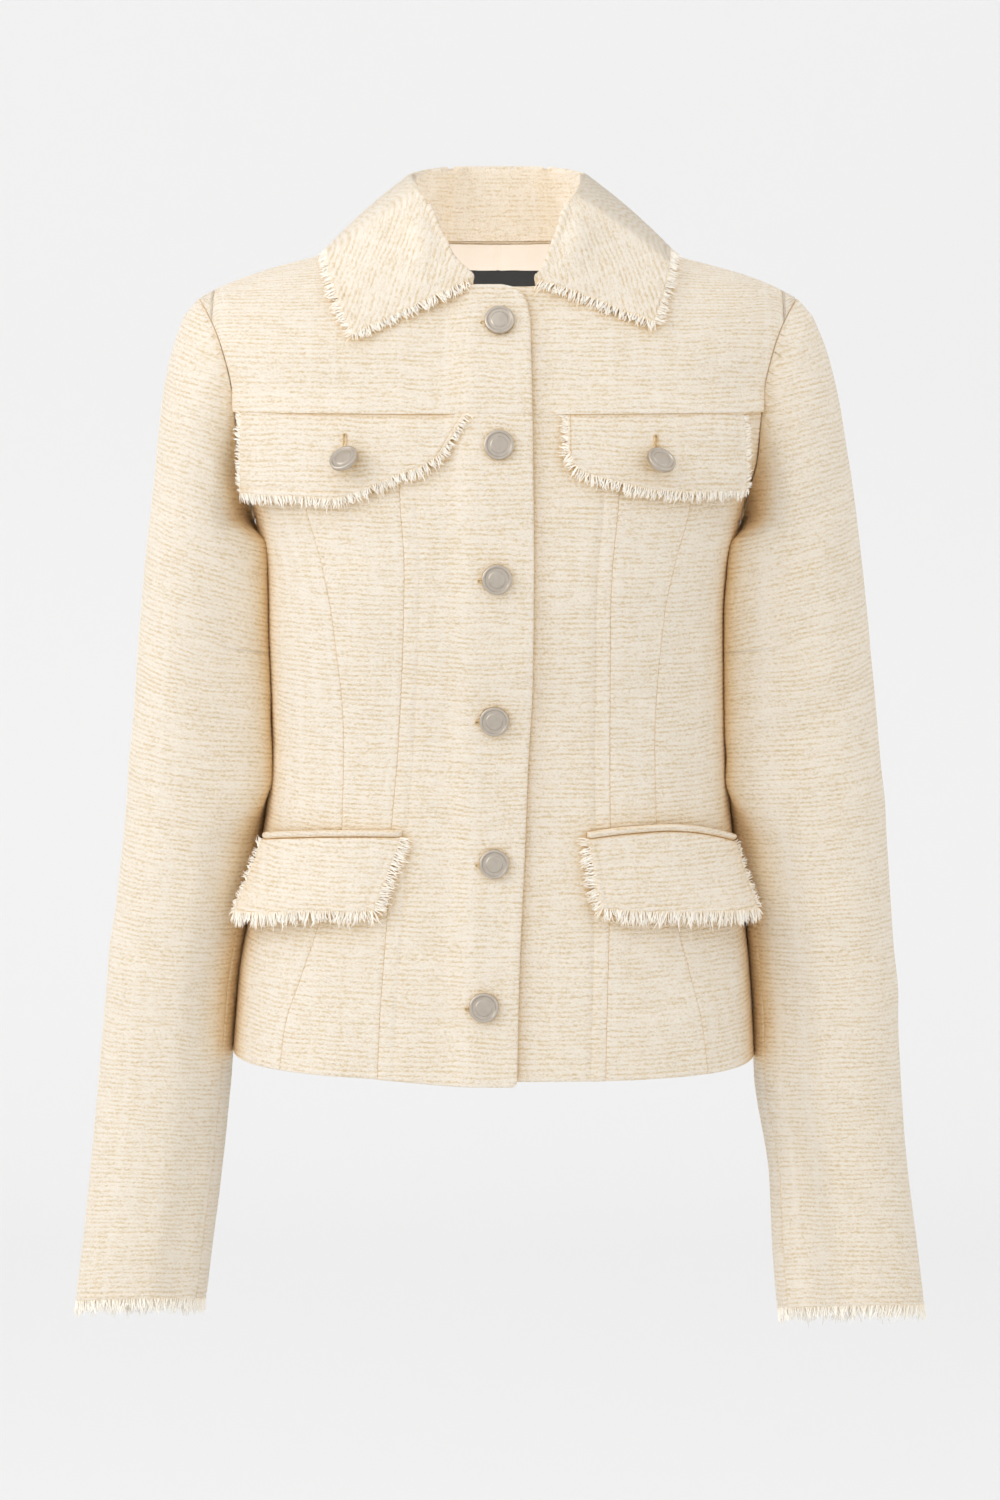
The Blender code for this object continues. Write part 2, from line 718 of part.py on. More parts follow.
def mitred(normal, points, edge):
    """Keeps the cut end of a sleeve's wall on its own side of the armhole's edge."""
    onward = points[1] - edge.point
    onward = (onward - edge.normal * onward.dot(edge.normal)).normalized()
    return (normal - onward * max(normal.dot(onward), 0.0)).normalized()


def sleeve_point(side, row, angle):
    tip = SleeveRing(armhole_x(SHOULDER_TIP_Z), SHOULDER_TIP_Z, armhole_x(PIT_Z), PIT_Z, ARMHOLE_HALF_DEPTH, 0, 0)
    stray = armhole_point(side, angle).point - oval(tip, side, angle)
    return oval(row, side, angle) + stray * (1 - row.own)


def sleeve(side):
    rows = SLEEVE_RIGHT if side == RIGHT else SLEEVE_LEFT
    word = SIDE_NAMES[side]

    def line(angle):
        """Points down the sleeve at one angle, the first just off the armhole's edge."""
        edge = armhole_point(side, angle)
        points = [sleeve_point(side, row, angle) for row in rows]
        away = (points[0] - edge.point).normalized()
        return [edge.point + away * SEAM_GAP] + points

    def section(angle):
        """The places of a line, each with the sleeve's own normal."""
        points, nearby = line(angle), line(angle + NEAR_ANGLE)
        before = [points[0]] + points[:-1]
        after = points[1:] + [points[-1]]
        column = []
        for k, point in enumerate(points):
            around = nearby[k] - point
            normal = around.cross(after[k] - before[k]).normalized() * side
            column.append(Place(point, normal))
        column[0] = Place(points[0], mitred(column[0].normal, points, armhole_point(side, angle)))
        return column

    def piece(name, first, last):
        trim = HALF_GAP / SLEEVE_HALF_WIDTH
        count = round((last - first) / SLEEVE_STEP)
        angles = [first + SLEEVE_STEP * k for k in range(count + 1)]
        angles[0] += trim
        angles[-1] -= trim
        columns = [section(angle) for angle in angles]
        cloth(name, [list(row) for row in zip(*columns)])

    piece("sleeve_upper_" + word, HINDARM_SEAM - 2 * pi, FOREARM_SEAM)
    piece("sleeve_under_" + word, FOREARM_SEAM, HINDARM_SEAM)


def cuff_place(side, angle):
    """A place on the sleeve's lower edge."""
    rows = SLEEVE_RIGHT if side == RIGHT else SLEEVE_LEFT
    point = oval(rows[-1], side, angle)
    down = (point - oval(rows[-2], side, angle)).normalized()
    around = oval(rows[-1], side, angle + NEAR_ANGLE) - point
    return Place(point, around.cross(down).normalized() * side)


for side in (RIGHT, LEFT):
    sleeve(side)


# ---------------------------------------------------------------- collar

# turn counts the neck edge's points: 0 at the front end, 5 at the side, 10 at the back.
CollarTurn = namedtuple(
    "CollarTurn", "turn lean_out lean_back rise right_out right_height left_out left_height swell"
)
COLLAR = (
    CollarTurn(0, 0.0000, -0.0016, 0.0045, 0.0880, -0.0225, 0.0937, -0.0210, 0.0000),
    CollarTurn(1, -0.0033, 0.0010, 0.0157, 0.0945, -0.0100, 0.0973, -0.0110, 0.0005),
    CollarTurn(2, -0.0087, 0.0130, 0.0268, 0.1000, 0.0035, 0.1010, -0.0010, 0.0010),
    CollarTurn(3, -0.0120, 0.0250, 0.0345, 0.1035, 0.0140, 0.1045, 0.0115, 0.0010),
    CollarTurn(4, -0.0112, 0.0150, 0.0355, 0.1055, 0.0215, 0.1065, 0.0205, 0.0010),
    CollarTurn(5, -0.0091, 0.0030, 0.0355, 0.1062, 0.0278, 0.1072, 0.0275, 0.0015),
    CollarTurn(6, -0.0070, -0.0100, 0.0385, 0.1040, 0.0180, 0.1045, 0.0180, 0.0025),
    CollarTurn(7, -0.0048, -0.0190, 0.0420, 0.0935, 0.0090, 0.0935, 0.0090, 0.0035),
    CollarTurn(8, -0.0032, -0.0175, 0.0448, 0.0690, 0.0110, 0.0690, 0.0110, 0.0040),
    CollarTurn(9, -0.0015, -0.0135, 0.0460, 0.0360, 0.0160, 0.0360, 0.0160, 0.0040),
    CollarTurn(10, 0.0000, -0.0115, 0.0465, 0.0000, 0.0185, 0.0000, 0.0185, 0.0030),
)
SIDE_TURN = NECK_COLUMNS
BACK_TURN = 2 * NECK_COLUMNS
RIGHT_TURNS = (0, 1, 2, 3, 4, 5, 5.5, 6, 6.5, 7, 7.5, 8, 8.5, 9, BACK_TURN)
LEFT_END_TURN = 0.5  # the left end starts half a point further from the middle
LEFT_TURNS = RIGHT_TURNS[-2:0:-1] + (LEFT_END_TURN,)
LEFT_SAME_TURN = 3  # from here on both sides fold at the same height
COLLAR_HALF = CLOTH_WALL / 2
COLLAR_CLEARANCE = COLLAR_HALF + 0.0018
# The cloth turns over a fold whose sides stand this far behind, above and before its line.
FOLD_BEHIND, FOLD_BEHIND_DROP = 0.0015, 0.0022
FOLD_ABOVE = 0.0004
FOLD_BEFORE, FOLD_BEFORE_DROP = 0.0020, 0.0018
LEAF_PARTS = (0.12, 0.32, 0.52, 0.72, 0.88, 1.0)
LEAF_START = 4
LOW_RISE = 0.006  # under this the collar's end is too low to fold over


def torso_tree():
    """The outer skin round the shoulders and the chest, as a search tree."""
    points, faces = [], []
    columns, rows = 60, 24
    for face in (FRONT, BACK):
        start = len(points)
        for i in range(columns + 1):
            x = mix(-ARMHOLE[-1].out, ARMHOLE[-1].out, i / columns)
            top = shoulder_height(x)
            for j in range(rows + 1):
                z = top - (top - PIT_Z) * (1 - sin(pi / 2 * j / rows))
                over_lap = face == FRONT and x < FRONT_EDGE[-1].across
                points.append(raised(skin(x, z, face), lap_lift(x) if over_lap else 0.0).point)
        for i in range(columns):
            for j in range(rows):
                a = start + i * (rows + 1) + j
                b = a + rows + 1
                faces.append((a, b, b + 1, a + 1) if face == FRONT else (a, a + 1, b + 1, b))
    return BVHTree.FromPolygons(points, faces)


TORSO_TREE = torso_tree()


def clear_of_torso(point, clearance=COLLAR_CLEARANCE):
    """Moves a point out until it lies at least clearance from the garment's skin."""
    nearest, normal, _, _ = TORSO_TREE.find_nearest(point)
    depth = (point - nearest).dot(normal)
    return point + normal * max(clearance - depth, 0.0)


def neck_place(side, turn):
    """A point of the neck edge that the yokes share, with the direction into the neck's hole.
    Half way between two such points it lies on the straight line from one to the other."""
    if turn != int(turn):
        (a, away_a), (b, away_b) = neck_place(side, int(turn)), neck_place(side, int(turn) + 1)
        middle = Place(mix(a.point, b.point, 0.5), mix(a.normal, b.normal, 0.5).normalized())
        return middle, mix(away_a, away_b, 0.5).normalized()
    face = FRONT if turn <= SIDE_TURN else BACK
    flat = NECK_FLAT_X if face == FRONT else 0.0

    def at(angle):
        x = side * (flat + (NECK_SIDE_X - flat) * sin(angle))
        return skin(x, neck_z(x, face), face)

    angle = pi / 2 * (1 - abs(turn - SIDE_TURN) / NECK_COLUMNS)
    place = at(angle)
    if turn == SIDE_TURN:
        along = Vector((0, side, 0))
    else:
        along = (at(angle + NEAR_ANGLE / 2).point - at(angle - NEAR_ANGLE / 2).point)
        along = along * (side if face == FRONT else -side)
    away = place.normal.cross(along).normalized()
    lift = lap_lift(place.point.x) if side == RIGHT and face == FRONT else 0.0
    return raised(place, lift), away


def collar_line(side, turn):
    """The outer place on the neck seam, then the middle of the cloth up to the outer edge."""
    seam, away = neck_place(side, turn)
    late = LEFT_END_TURN * (1 - ramp(LEFT_END_TURN, LEFT_SAME_TURN, turn)) if side == LEFT else 0.0
    lean_out, lean_back, rise, swell = (
        read(COLLAR, "turn", name, turn - late) for name in ("lean_out", "lean_back", "rise", "swell")
    )
    edge_out = read(COLLAR, "turn", SIDE_NAMES[side] + "_out", turn)
    edge_height = read(COLLAR, "turn", SIDE_NAMES[side] + "_height", turn)
    seam = Place(seam.point + away * LAID_GAP, seam.normal)
    base = seam.point - seam.normal * COLLAR_HALF
    fold_way = Vector((side * lean_out, lean_back, rise))
    fold = base + fold_way
    edge_height = min(edge_height, shoulder_height(edge_out))
    edge_place = skin(side * edge_out, edge_height, FRONT if turn <= SIDE_TURN else BACK)
    edge = clear_of_torso(raised(edge_place, COLLAR_CLEARANCE).point)
    up = fold_way.normalized()
    out = edge - fold
    out = (out - up * out.dot(up)).normalized()
    if rise < LOW_RISE:
        points = [mix(base, fold, 0.35), mix(base, fold, 0.7) - out * FOLD_BEHIND / 5]
    else:
        behind = fold - out * FOLD_BEHIND - up * FOLD_BEHIND_DROP
        points = [mix(base, fold, 0.45) - out * FOLD_BEHIND / 4, behind]
    points.append(fold + up * FOLD_ABOVE)
    points.append(fold + out * FOLD_BEFORE - up * FOLD_BEFORE_DROP)
    start = points[-1]
    outwards = (edge_place.normal + Vector((0, 0, 0.6))).normalized()
    for part in LEAF_PARTS:
        point = mix(start, edge, part) + outwards * swell * sin(pi * part)
        points.append(clear_of_torso(point))
    return seam, points


def middle_places(lines, lift):
    """Places lift away from a grid of points, on the side that its normals point to."""
    rows = []
    last_j, last_i = len(lines) - 1, len(lines[0]) - 1
    for j, line in enumerate(lines):
        row = []
        for i, point in enumerate(line):
            along = lines[min(j + 1, last_j)][i] - lines[max(j - 1, 0)][i]
            across = line[min(i + 1, last_i)] - line[max(i - 1, 0)]
            normal = along.cross(across).normalized()
            row.append(Place(point + normal * lift, normal))
        rows.append(row)
    return rows


def collar_places():
    """Rows from the right front end, round the back of the neck, to the left front end."""
    turns = [(RIGHT, turn) for turn in RIGHT_TURNS] + [(LEFT, turn) for turn in LEFT_TURNS]
    lines = [collar_line(side, turn) for side, turn in turns]
    rows = middle_places([points for _, points in lines], COLLAR_HALF)
    return [[seam] + row for (seam, _), row in zip(lines, rows)]


COLLAR_PLACES = collar_places()
cloth("collar", COLLAR_PLACES)


# ---------------------------------------------------------------- inside the back of the neck

INSIDE = CLOTH_WALL + SEAM_GAP + 0.0006
INSIDE_AT_ENDS = INSIDE + 0.0014  # where the yoke turns forward the strip bridges its curve


def on_grid(rows, across, up):
    """A place on a grid of places, at fractional steps across and up it."""
    i, j = min(int(across), len(rows[0]) - 2), min(int(up), len(rows) - 2)
    u, v = across - i, up - j
    low, high = rows[j], rows[j + 1]
    point = mix(mix(low[i].point, low[i + 1].point, u), mix(high[i].point, high[i + 1].point, u), v)
    normal = mix(mix(low[i].normal, low[i + 1].normal, u), mix(high[i].normal, high[i + 1].normal, u), v)
    return Place(point, normal)


def inside_back(name, across, up, material):
    """A thin strip on the inner side of the back yoke, its points on the yoke's own mesh."""
    rows = []
    depths = [INSIDE_AT_ENDS] + [INSIDE] * (len(across) - 2) + [INSIDE_AT_ENDS]
    for v in up:
        rows.append([raised(on_grid(BACK_YOKE_PLACES, u, v), -depth) for u, depth in zip(across, depths)])
    cloth(name, rows, LINING_WALL, material)


YOKE_MIDDLE = SHOULDER_COLUMNS + NECK_COLUMNS
LINING_ACROSS = [YOKE_MIDDLE + step for step in (-2.3, -2, -1, 0, 1, 2, 2.3)]
LABEL_ACROSS = [YOKE_MIDDLE + step for step in (-1.45, -1, 0, 1, 1.45)]
LINING_UP = (4.30, 5, 5.92)
LABEL_UP = (3.20, 4, 4.28)

inside_back("back_neck_lining", LINING_ACROSS, LINING_UP, LINING)
inside_back("neck_label", LABEL_ACROSS, LABEL_UP, LABEL)


# ---------------------------------------------------------------- pocket flaps

FlapColumn = namedtuple("FlapColumn", "top_x top_z bottom_x bottom_z")
FLAP_TOP_Z = CHEST_SEAM_Z - HALF_GAP
CHEST_FLAP_RIGHT = (
    FlapColumn(-0.0188, FLAP_TOP_Z, -0.0350, -0.0940),
    FlapColumn(-0.0330, FLAP_TOP_Z, -0.0479, -0.1020),
    FlapColumn(-0.0500, FLAP_TOP_Z, -0.0620, -0.1070),
    FlapColumn(-0.0720, FLAP_TOP_Z, -0.0794, -0.1145),
    FlapColumn(-0.0980, FLAP_TOP_Z, -0.1011, -0.1211),
    FlapColumn(-0.1200, FLAP_TOP_Z, -0.1193, -0.1199),
    FlapColumn(-0.1420, FLAP_TOP_Z, -0.1410, -0.1196),
    FlapColumn(-0.1580, FLAP_TOP_Z, -0.1573, -0.1192),
)
CHEST_FLAP_LEFT = (
    FlapColumn(0.0420, FLAP_TOP_Z, 0.0425, -0.0930),
    FlapColumn(0.0500, FLAP_TOP_Z, 0.0493, -0.1033),
    FlapColumn(0.0660, FLAP_TOP_Z, 0.0655, -0.1088),
    FlapColumn(0.0820, FLAP_TOP_Z, 0.0820, -0.1130),
    FlapColumn(0.0985, FLAP_TOP_Z, 0.0985, -0.1161),
    FlapColumn(0.1170, FLAP_TOP_Z, 0.1170, -0.1168),
    FlapColumn(0.1350, FLAP_TOP_Z, 0.1350, -0.1168),
    FlapColumn(0.1510, FLAP_TOP_Z, 0.1518, -0.1165),
)
HIP_FLAP_RIGHT = (
    FlapColumn(-0.0591, -0.3300, -0.0757, -0.3758),
    FlapColumn(-0.0800, -0.3306, -0.0950, -0.3770),
    FlapColumn(-0.1010, -0.3318, -0.1150, -0.3784),
    FlapColumn(-0.1200, -0.3338, -0.1350, -0.3810),
    FlapColumn(-0.1350, -0.3362, -0.1510, -0.3836),
    FlapColumn(-0.1462, -0.3390, -0.1624, -0.3855),
)
HIP_FLAP_LEFT = (
    FlapColumn(0.0549, -0.3310, 0.0631, -0.3740),
    FlapColumn(0.0760, -0.3288, 0.0790, -0.3758),
    FlapColumn(0.0994, -0.3280, 0.0990, -0.3776),
    FlapColumn(0.1180, -0.3300, 0.1210, -0.3792),
    FlapColumn(0.1340, -0.3344, 0.1420, -0.3812),
    FlapColumn(0.1475, -0.3404, 0.1598, -0.3833),
)
FLAP_ROWS = 4
# The section that a flap lies on is wider than the body's, more so towards the flap's hem.
Widen = namedtuple("Widen", "top hem")
CHEST_WIDEN = Widen(0.0025, 0.0080)
HIP_WIDEN = Widen(0.0045, 0.0140)
CHEST_HEM_LIFT = 0.0015
HIP_LIFT = 0.0005
HIP_HEM_LIFT = 0.0025


def flap_places(columns, widen, base_lift, hem_lift):
    rows = []
    for k in range(FLAP_ROWS + 1):
        t = k / FLAP_ROWS
        row = []
        for column in columns:
            x = mix(column.top_x, column.bottom_x, t)
            z = mix(column.top_z, column.bottom_z, t)
            lift = base_lift + hem_lift * t * t + lap_lift(x) * (x < 0)
            row.append(raised(skin(x, z, FRONT, mix(widen.top, widen.hem, t)), lift))
        rows.append(row)
    return rows


CHEST_PLACES = {
    RIGHT: flap_places(CHEST_FLAP_RIGHT, CHEST_WIDEN, FLAP_LIFT, CHEST_HEM_LIFT),
    LEFT: flap_places(CHEST_FLAP_LEFT, CHEST_WIDEN, FLAP_LIFT, CHEST_HEM_LIFT),
}
HIP_PLACES = {
    RIGHT: flap_places(HIP_FLAP_RIGHT, HIP_WIDEN, FLAP_LIFT + HIP_LIFT, HIP_HEM_LIFT),
    LEFT: flap_places(HIP_FLAP_LEFT, HIP_WIDEN, FLAP_LIFT + HIP_LIFT, HIP_HEM_LIFT),
}
for side in (RIGHT, LEFT):
    cloth("chest_flap_" + SIDE_NAMES[side], CHEST_PLACES[side])
    cloth("hip_flap_" + SIDE_NAMES[side], HIP_PLACES[side])


# ---------------------------------------------------------------- hip pocket welts

WELT_HEIGHT = 0.0042
WELT_WALL = {RIGHT: 0.0026, LEFT: 0.0034}  # the left one is rounder


def welt(side):
    """A rolled strip just above a hip flap's top edge, over the pocket's mouth."""
    wall = WELT_WALL[side]
    rows = []
    for t, swell in ((0.0, 0.0), (0.5, 0.35), (1.0, 0.0)):
        row = []
        for column in HIP_FLAP_RIGHT if side == RIGHT else HIP_FLAP_LEFT:
            z = column.top_z + SEAM_GAP + WELT_HEIGHT * (1 - t)
            row.append(raised(skin(column.top_x, z, FRONT, HIP_WIDEN.top), HIP_LIFT + wall * (1 + swell)))
        rows.append(row)
    cloth("pocket_welt_" + SIDE_NAMES[side], rows, wall)


for side in (RIGHT, LEFT):
    welt(side)


# ---------------------------------------------------------------- buttons

BUTTON_RADIUS = 0.0091
BUTTON_DEPTH = 0.0030
BUTTON_OFF_CLOTH = 0.0006
SHANK_LENGTH = 0.0071
SHANK_RADIUS = 0.0015
BUTTON_SEGMENTS = 20

Profile = namedtuple("Profile", "radius height")
BUTTON_FACE = (
    Profile(BUTTON_RADIUS - 0.0004, 0.0000),
    Profile(BUTTON_RADIUS, 0.0010),
    Profile(BUTTON_RADIUS - 0.0002, BUTTON_DEPTH - 0.0004),
    Profile(BUTTON_RADIUS - 0.0010, BUTTON_DEPTH),
    Profile(BUTTON_RADIUS - 0.0019, BUTTON_DEPTH - 0.0008),
    Profile(BUTTON_RADIUS - 0.0042, BUTTON_DEPTH - 0.0008),
    Profile(BUTTON_RADIUS - 0.0048, BUTTON_DEPTH - 0.0003),
    Profile(0.0, BUTTON_DEPTH - 0.0003),
)
PLAIN_BACK = (Profile(0.0, 0.0),)
SHANK_BACK = (
    Profile(0.0, -SHANK_LENGTH),
    Profile(SHANK_RADIUS, -SHANK_LENGTH),
    Profile(SHANK_RADIUS, 0.0),
)


def turned(name, profile, centre, axis):
    """A body turned about axis, its profile running from the back's middle to the front's."""
    turn = axis.to_track_quat("Z", "Y")
    body = bmesh.new()
    loops = []
    for step in profile:
        count = BUTTON_SEGMENTS if step.radius > 0 else 1
        loop = []
        for k in range(count):
            angle = 2 * pi * k / BUTTON_SEGMENTS
            spot = Vector((step.radius * cos(angle), step.radius * sin(angle), step.height))
            loop.append(body.verts.new(centre + turn @ spot))
        loops.append(loop)
    for low, high in zip(loops, loops[1:]):
        for k in range(BUTTON_SEGMENTS):
            after = (k + 1) % BUTTON_SEGMENTS
            if len(low) == 1:
                body.faces.new((low[0], high[after], high[k]))
            elif len(high) == 1:
                body.faces.new((low[k], low[after], high[0]))
            else:
                body.faces.new((low[k], low[after], high[after], high[k]))
    finish(name, body, METAL)


ButtonSpot = namedtuple("ButtonSpot", "x z")
FRONT_BUTTONS = (
    ButtonSpot(0.0010, -0.0132),
    ButtonSpot(0.0007, -0.0876),
    ButtonSpot(-0.0005, -0.1687),
    ButtonSpot(-0.0022, -0.2564),
    ButtonSpot(-0.0022, -0.3453),
    ButtonSpot(-0.0086, -0.4339),
)


def on_cloth(name, x, z):
    """The spot of a piece's outer side that is seen from the front at x and z."""
    mesh = bpy.data.objects[name].data
    tree = BVHTree.FromPolygons([v.co for v in mesh.vertices], [p.vertices for p in mesh.polygons])
    point, normal, _, _ = tree.ray_cast(Vector((x, -1.0, z)), Vector((0.0, 1.0, 0.0)))
    return Place(point, normal)


for number, spot in enumerate(FRONT_BUTTONS, start=1):
    panel = "front_yoke_right" if spot.z > CHEST_SEAM_Z else "front_centre_right"
    place = raised(on_cloth(panel, spot.x, spot.z), BUTTON_OFF_CLOTH)
    turned("button_front_" + str(number), PLAIN_BACK + BUTTON_FACE, place.point, place.normal)

FLAP_BUTTONS = {RIGHT: ButtonSpot(-0.0912, -0.0975), LEFT: ButtonSpot(0.0970, -0.0985)}
FLAP_BUTTON_TILT = radians(44)  # it hangs from its shank with its face turned up
FLAP_BUTTON_TWIST = radians(20)
FLAP_BUTTON_OUT = 0.0070

for side in (RIGHT, LEFT):
    spot = FLAP_BUTTONS[side]
    place = on_cloth("chest_flap_" + SIDE_NAMES[side], spot.x, spot.z)
    upward = Vector((side * sin(FLAP_BUTTON_TWIST), 0.0, cos(FLAP_BUTTON_TWIST)))
    axis = (place.normal * cos(FLAP_BUTTON_TILT) + upward * sin(FLAP_BUTTON_TILT)).normalized()
    centre = place.point + place.normal * FLAP_BUTTON_OUT
    turned("button_flap_" + SIDE_NAMES[side], SHANK_BACK + BUTTON_FACE, centre, axis)


# ---------------------------------------------------------------- frayed edges

FRINGE_GAP = 0.0006
STRIP_WIDTH = 0.0015
STRIP_HALF_WALL = 0.0008
STRIP_CLEARANCE = STRIP_HALF_WALL + 0.0005
LOCK_JITTER = 0.35
LOCK_SHORTEST, LOCK_LONGEST = 0.75, 1.15
LOCK_TIP_LIFT = 0.0012

EdgePoint = namedtuple("EdgePoint", "point normal length")
EdgeSpot = namedtuple("EdgeSpot", "point normal outward length")


def edge_station(place, length):
    """The middle of the cloth's cut edge at a place."""
    return EdgePoint(place.point - place.normal * COLLAR_HALF, place.normal, length)


def edge_spots(stations, turn, closed):
    """Each station with a mitred direction away from the cloth, in the cloth's own plane.
    turn is 1 or -1, for cloth on one side or the other of the path."""
    spots = []
    last = len(stations) - 1
    for k, station in enumerate(stations):
        before = stations[k - 1] if closed or k > 0 else station
        after = stations[(k + 1) % len(stations)] if closed or k < last else station
        ways = []
        for a, b in ((before, station), (station, after)):
            run = b.point - a.point
            if run.length > 0:
                ways.append(run.cross(station.normal).normalized() * turn)
        mitre = (ways[0] + ways[-1]) / (1 + max(ways[0].dot(ways[-1]), 0.0))
        spots.append(EdgeSpot(station.point, station.normal, mitre, station.length))
    return spots


def share_locks(spots, count, closed):
    """Splits an edge into roots of nearly even width that meet at every one of its spots."""
    path = spots + spots[:1] if closed else spots
    total = sum((b.point - a.point).length for a, b in zip(path, path[1:]))
    result, used, done = [], 0, 0.0
    for a, b in zip(path, path[1:]):
        done += (b.point - a.point).length
        parts = max(round(count * done / total) - used, 1)
        used += parts
        for k in range(parts):
            result.append(EdgeSpot(*(mix(low, high, k / parts) for low, high in zip(a, b))))
    return result if closed else result + [path[-1]]


def fringe(name, stations, count, seed, turn, closed=False, clear=None):
    """A narrow strip off the cloth's edge that carries a row of pointed locks."""
    random = Random(seed)
    edge = share_locks(edge_spots(stations, turn, closed), count, closed)
    body = bmesh.new()
    rings = []
    for spot in edge:
        near = spot.point + spot.outward * FRINGE_GAP
        far = near + spot.outward * STRIP_WIDTH
        if clear:
            far = clear(far, STRIP_CLEARANCE)
        up = spot.normal.normalized() * STRIP_HALF_WALL
        rings.append([body.verts.new(point) for point in (near - up, near + up, far + up, far - up)])
    pairs = list(zip(rings, rings[1:] + rings[:1] if closed else rings[1:]))
    for k, (a, b) in enumerate(pairs):
        for i in (3, 0, 1):
            after = (i + 1) % 4
            body.faces.new((a[i], b[i], b[after], a[after]))
        spot, onward = edge[k], edge[(k + 1) % len(edge)]
        root = (a[2].co + b[3].co) / 2
        outward = (spot.outward + onward.outward).normalized()
        sideways = (onward.point - spot.point) * random.uniform(-LOCK_JITTER, LOCK_JITTER)
        tip = root + outward * spot.length * random.uniform(LOCK_SHORTEST, LOCK_LONGEST) + sideways
        tip = tip + spot.normal * random.uniform(0.0, LOCK_TIP_LIFT)
        if clear:
            tip = clear(tip, STRIP_HALF_WALL)
        point = body.verts.new(tip)
        corners = (a[2], b[2], b[3], a[3])
        for i in range(4):
            body.faces.new((corners[i], corners[(i + 1) % 4], point))
    if not closed:
        body.faces.new(rings[0])
        body.faces.new(rings[-1])
    finish(name, body, FRAYED, sharp=80)


def flap_edge(places, side_length, hem_length):
    """Stations down a flap's inner end, along its hem and up its outer end."""
    stations = [edge_station(row[0], side_length) for row in places[:-1]]
    stations += [edge_station(place, hem_length) for place in places[-1]]
    stations += [edge_station(row[-1], side_length) for row in reversed(places[:-1])]
    return stations


CHEST_LOCKS = 34
CHEST_SIDE_FRINGE, CHEST_HEM_FRINGE = 0.0045, 0.0060
HIP_LOCKS = 26
HIP_SIDE_FRINGE, HIP_HEM_FRINGE = 0.0070, 0.0085

for side in (RIGHT, LEFT):
    word = SIDE_NAMES[side]
    chest = flap_edge(CHEST_PLACES[side], CHEST_SIDE_FRINGE, CHEST_HEM_FRINGE)
    fringe("fringe_chest_flap_" + word, chest, CHEST_LOCKS, 11 + side, turn=side)
    hip = flap_edge(HIP_PLACES[side], HIP_SIDE_FRINGE, HIP_HEM_FRINGE)
    fringe("fringe_hip_flap_" + word, hip, HIP_LOCKS, 21 + side, turn=side)

COLLAR_LOCKS = 70
COLLAR_FRINGE_LENGTH = 0.0060
collar_last = len(COLLAR_PLACES[0]) - 1
collar_edge = [COLLAR_PLACES[0][i] for i in range(LEAF_START + 1, collar_last)]
collar_edge += [row[collar_last] for row in COLLAR_PLACES]
collar_edge += [COLLAR_PLACES[-1][i] for i in range(collar_last - 1, LEAF_START, -1)]
collar_stations = [edge_station(place, COLLAR_FRINGE_LENGTH) for place in collar_edge]
fringe("fringe_collar", collar_stations, COLLAR_LOCKS, 31, turn=-1, clear=clear_of_torso)

CUFF_LOCKS = 28
CUFF_FRINGE_LENGTH = 0.0078
for side in (RIGHT, LEFT):
    cuff = [cuff_place(side, SLEEVE_STEP * k) for k in range(2 * ARMHOLE_STEPS)]
    stations = [edge_station(place, CUFF_FRINGE_LENGTH) for place in cuff]
    fringe("fringe_cuff_" + SIDE_NAMES[side], stations, CUFF_LOCKS, 41 + side, turn=-side, closed=True)
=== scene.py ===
from math import radians

import bpy
import numpy as np
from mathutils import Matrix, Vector


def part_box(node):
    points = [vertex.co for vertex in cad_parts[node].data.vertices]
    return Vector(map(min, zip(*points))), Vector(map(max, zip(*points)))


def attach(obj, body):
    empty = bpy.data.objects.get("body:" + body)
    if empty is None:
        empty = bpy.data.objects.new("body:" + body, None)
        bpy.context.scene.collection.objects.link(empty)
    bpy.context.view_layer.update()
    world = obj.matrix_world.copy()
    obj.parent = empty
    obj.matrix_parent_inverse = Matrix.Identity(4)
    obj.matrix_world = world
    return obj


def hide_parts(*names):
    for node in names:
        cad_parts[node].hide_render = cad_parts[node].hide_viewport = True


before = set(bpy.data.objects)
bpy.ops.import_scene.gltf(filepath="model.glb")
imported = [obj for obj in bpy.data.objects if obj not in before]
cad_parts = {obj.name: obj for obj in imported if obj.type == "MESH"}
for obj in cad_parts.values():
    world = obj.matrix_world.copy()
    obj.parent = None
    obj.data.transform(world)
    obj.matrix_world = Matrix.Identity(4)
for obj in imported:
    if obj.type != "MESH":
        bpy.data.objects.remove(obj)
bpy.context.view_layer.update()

# ---------------------------------------------------------------- camera, floor and light
# The jacket hangs in the air as on a wearer, about 1.4 m over a pale floor that sweeps up
# into a pale wall. Large soft lights stand on its right and above, with a weaker one opposite,
# and a small one inside brightens the back of the neck.

CAMERA_PLACE, CAMERA_AIM = (0.0013, -2.6468, 0.0370), (0.0013, 0.0, -0.2880)
CAMERA_LENS, CAMERA_SENSOR = 100.0, 36.0  # millimetres
FLOOR_Z, FLOOR_SIZE, WALL_Y, WALL_HEIGHT = -1.40, 14.0, 3.2, 6.0
SWEEP_RADIUS, SWEEP_STEPS = 1.2, 12
CHEST, NECK_BACK = (0.0, 0.0, -0.25), (0.0, 0.085, 0.06)


def linear(code):
    """An sRGB hex colour as the linear red, green, blue and alpha that a shader takes."""
    parts = [int(code[k : k + 2], 16) / 255 for k in (1, 3, 5)]
    return tuple(c / 12.92 if c <= 0.04045 else ((c + 0.055) / 1.055) ** 2.4 for c in parts) + (1.0,)


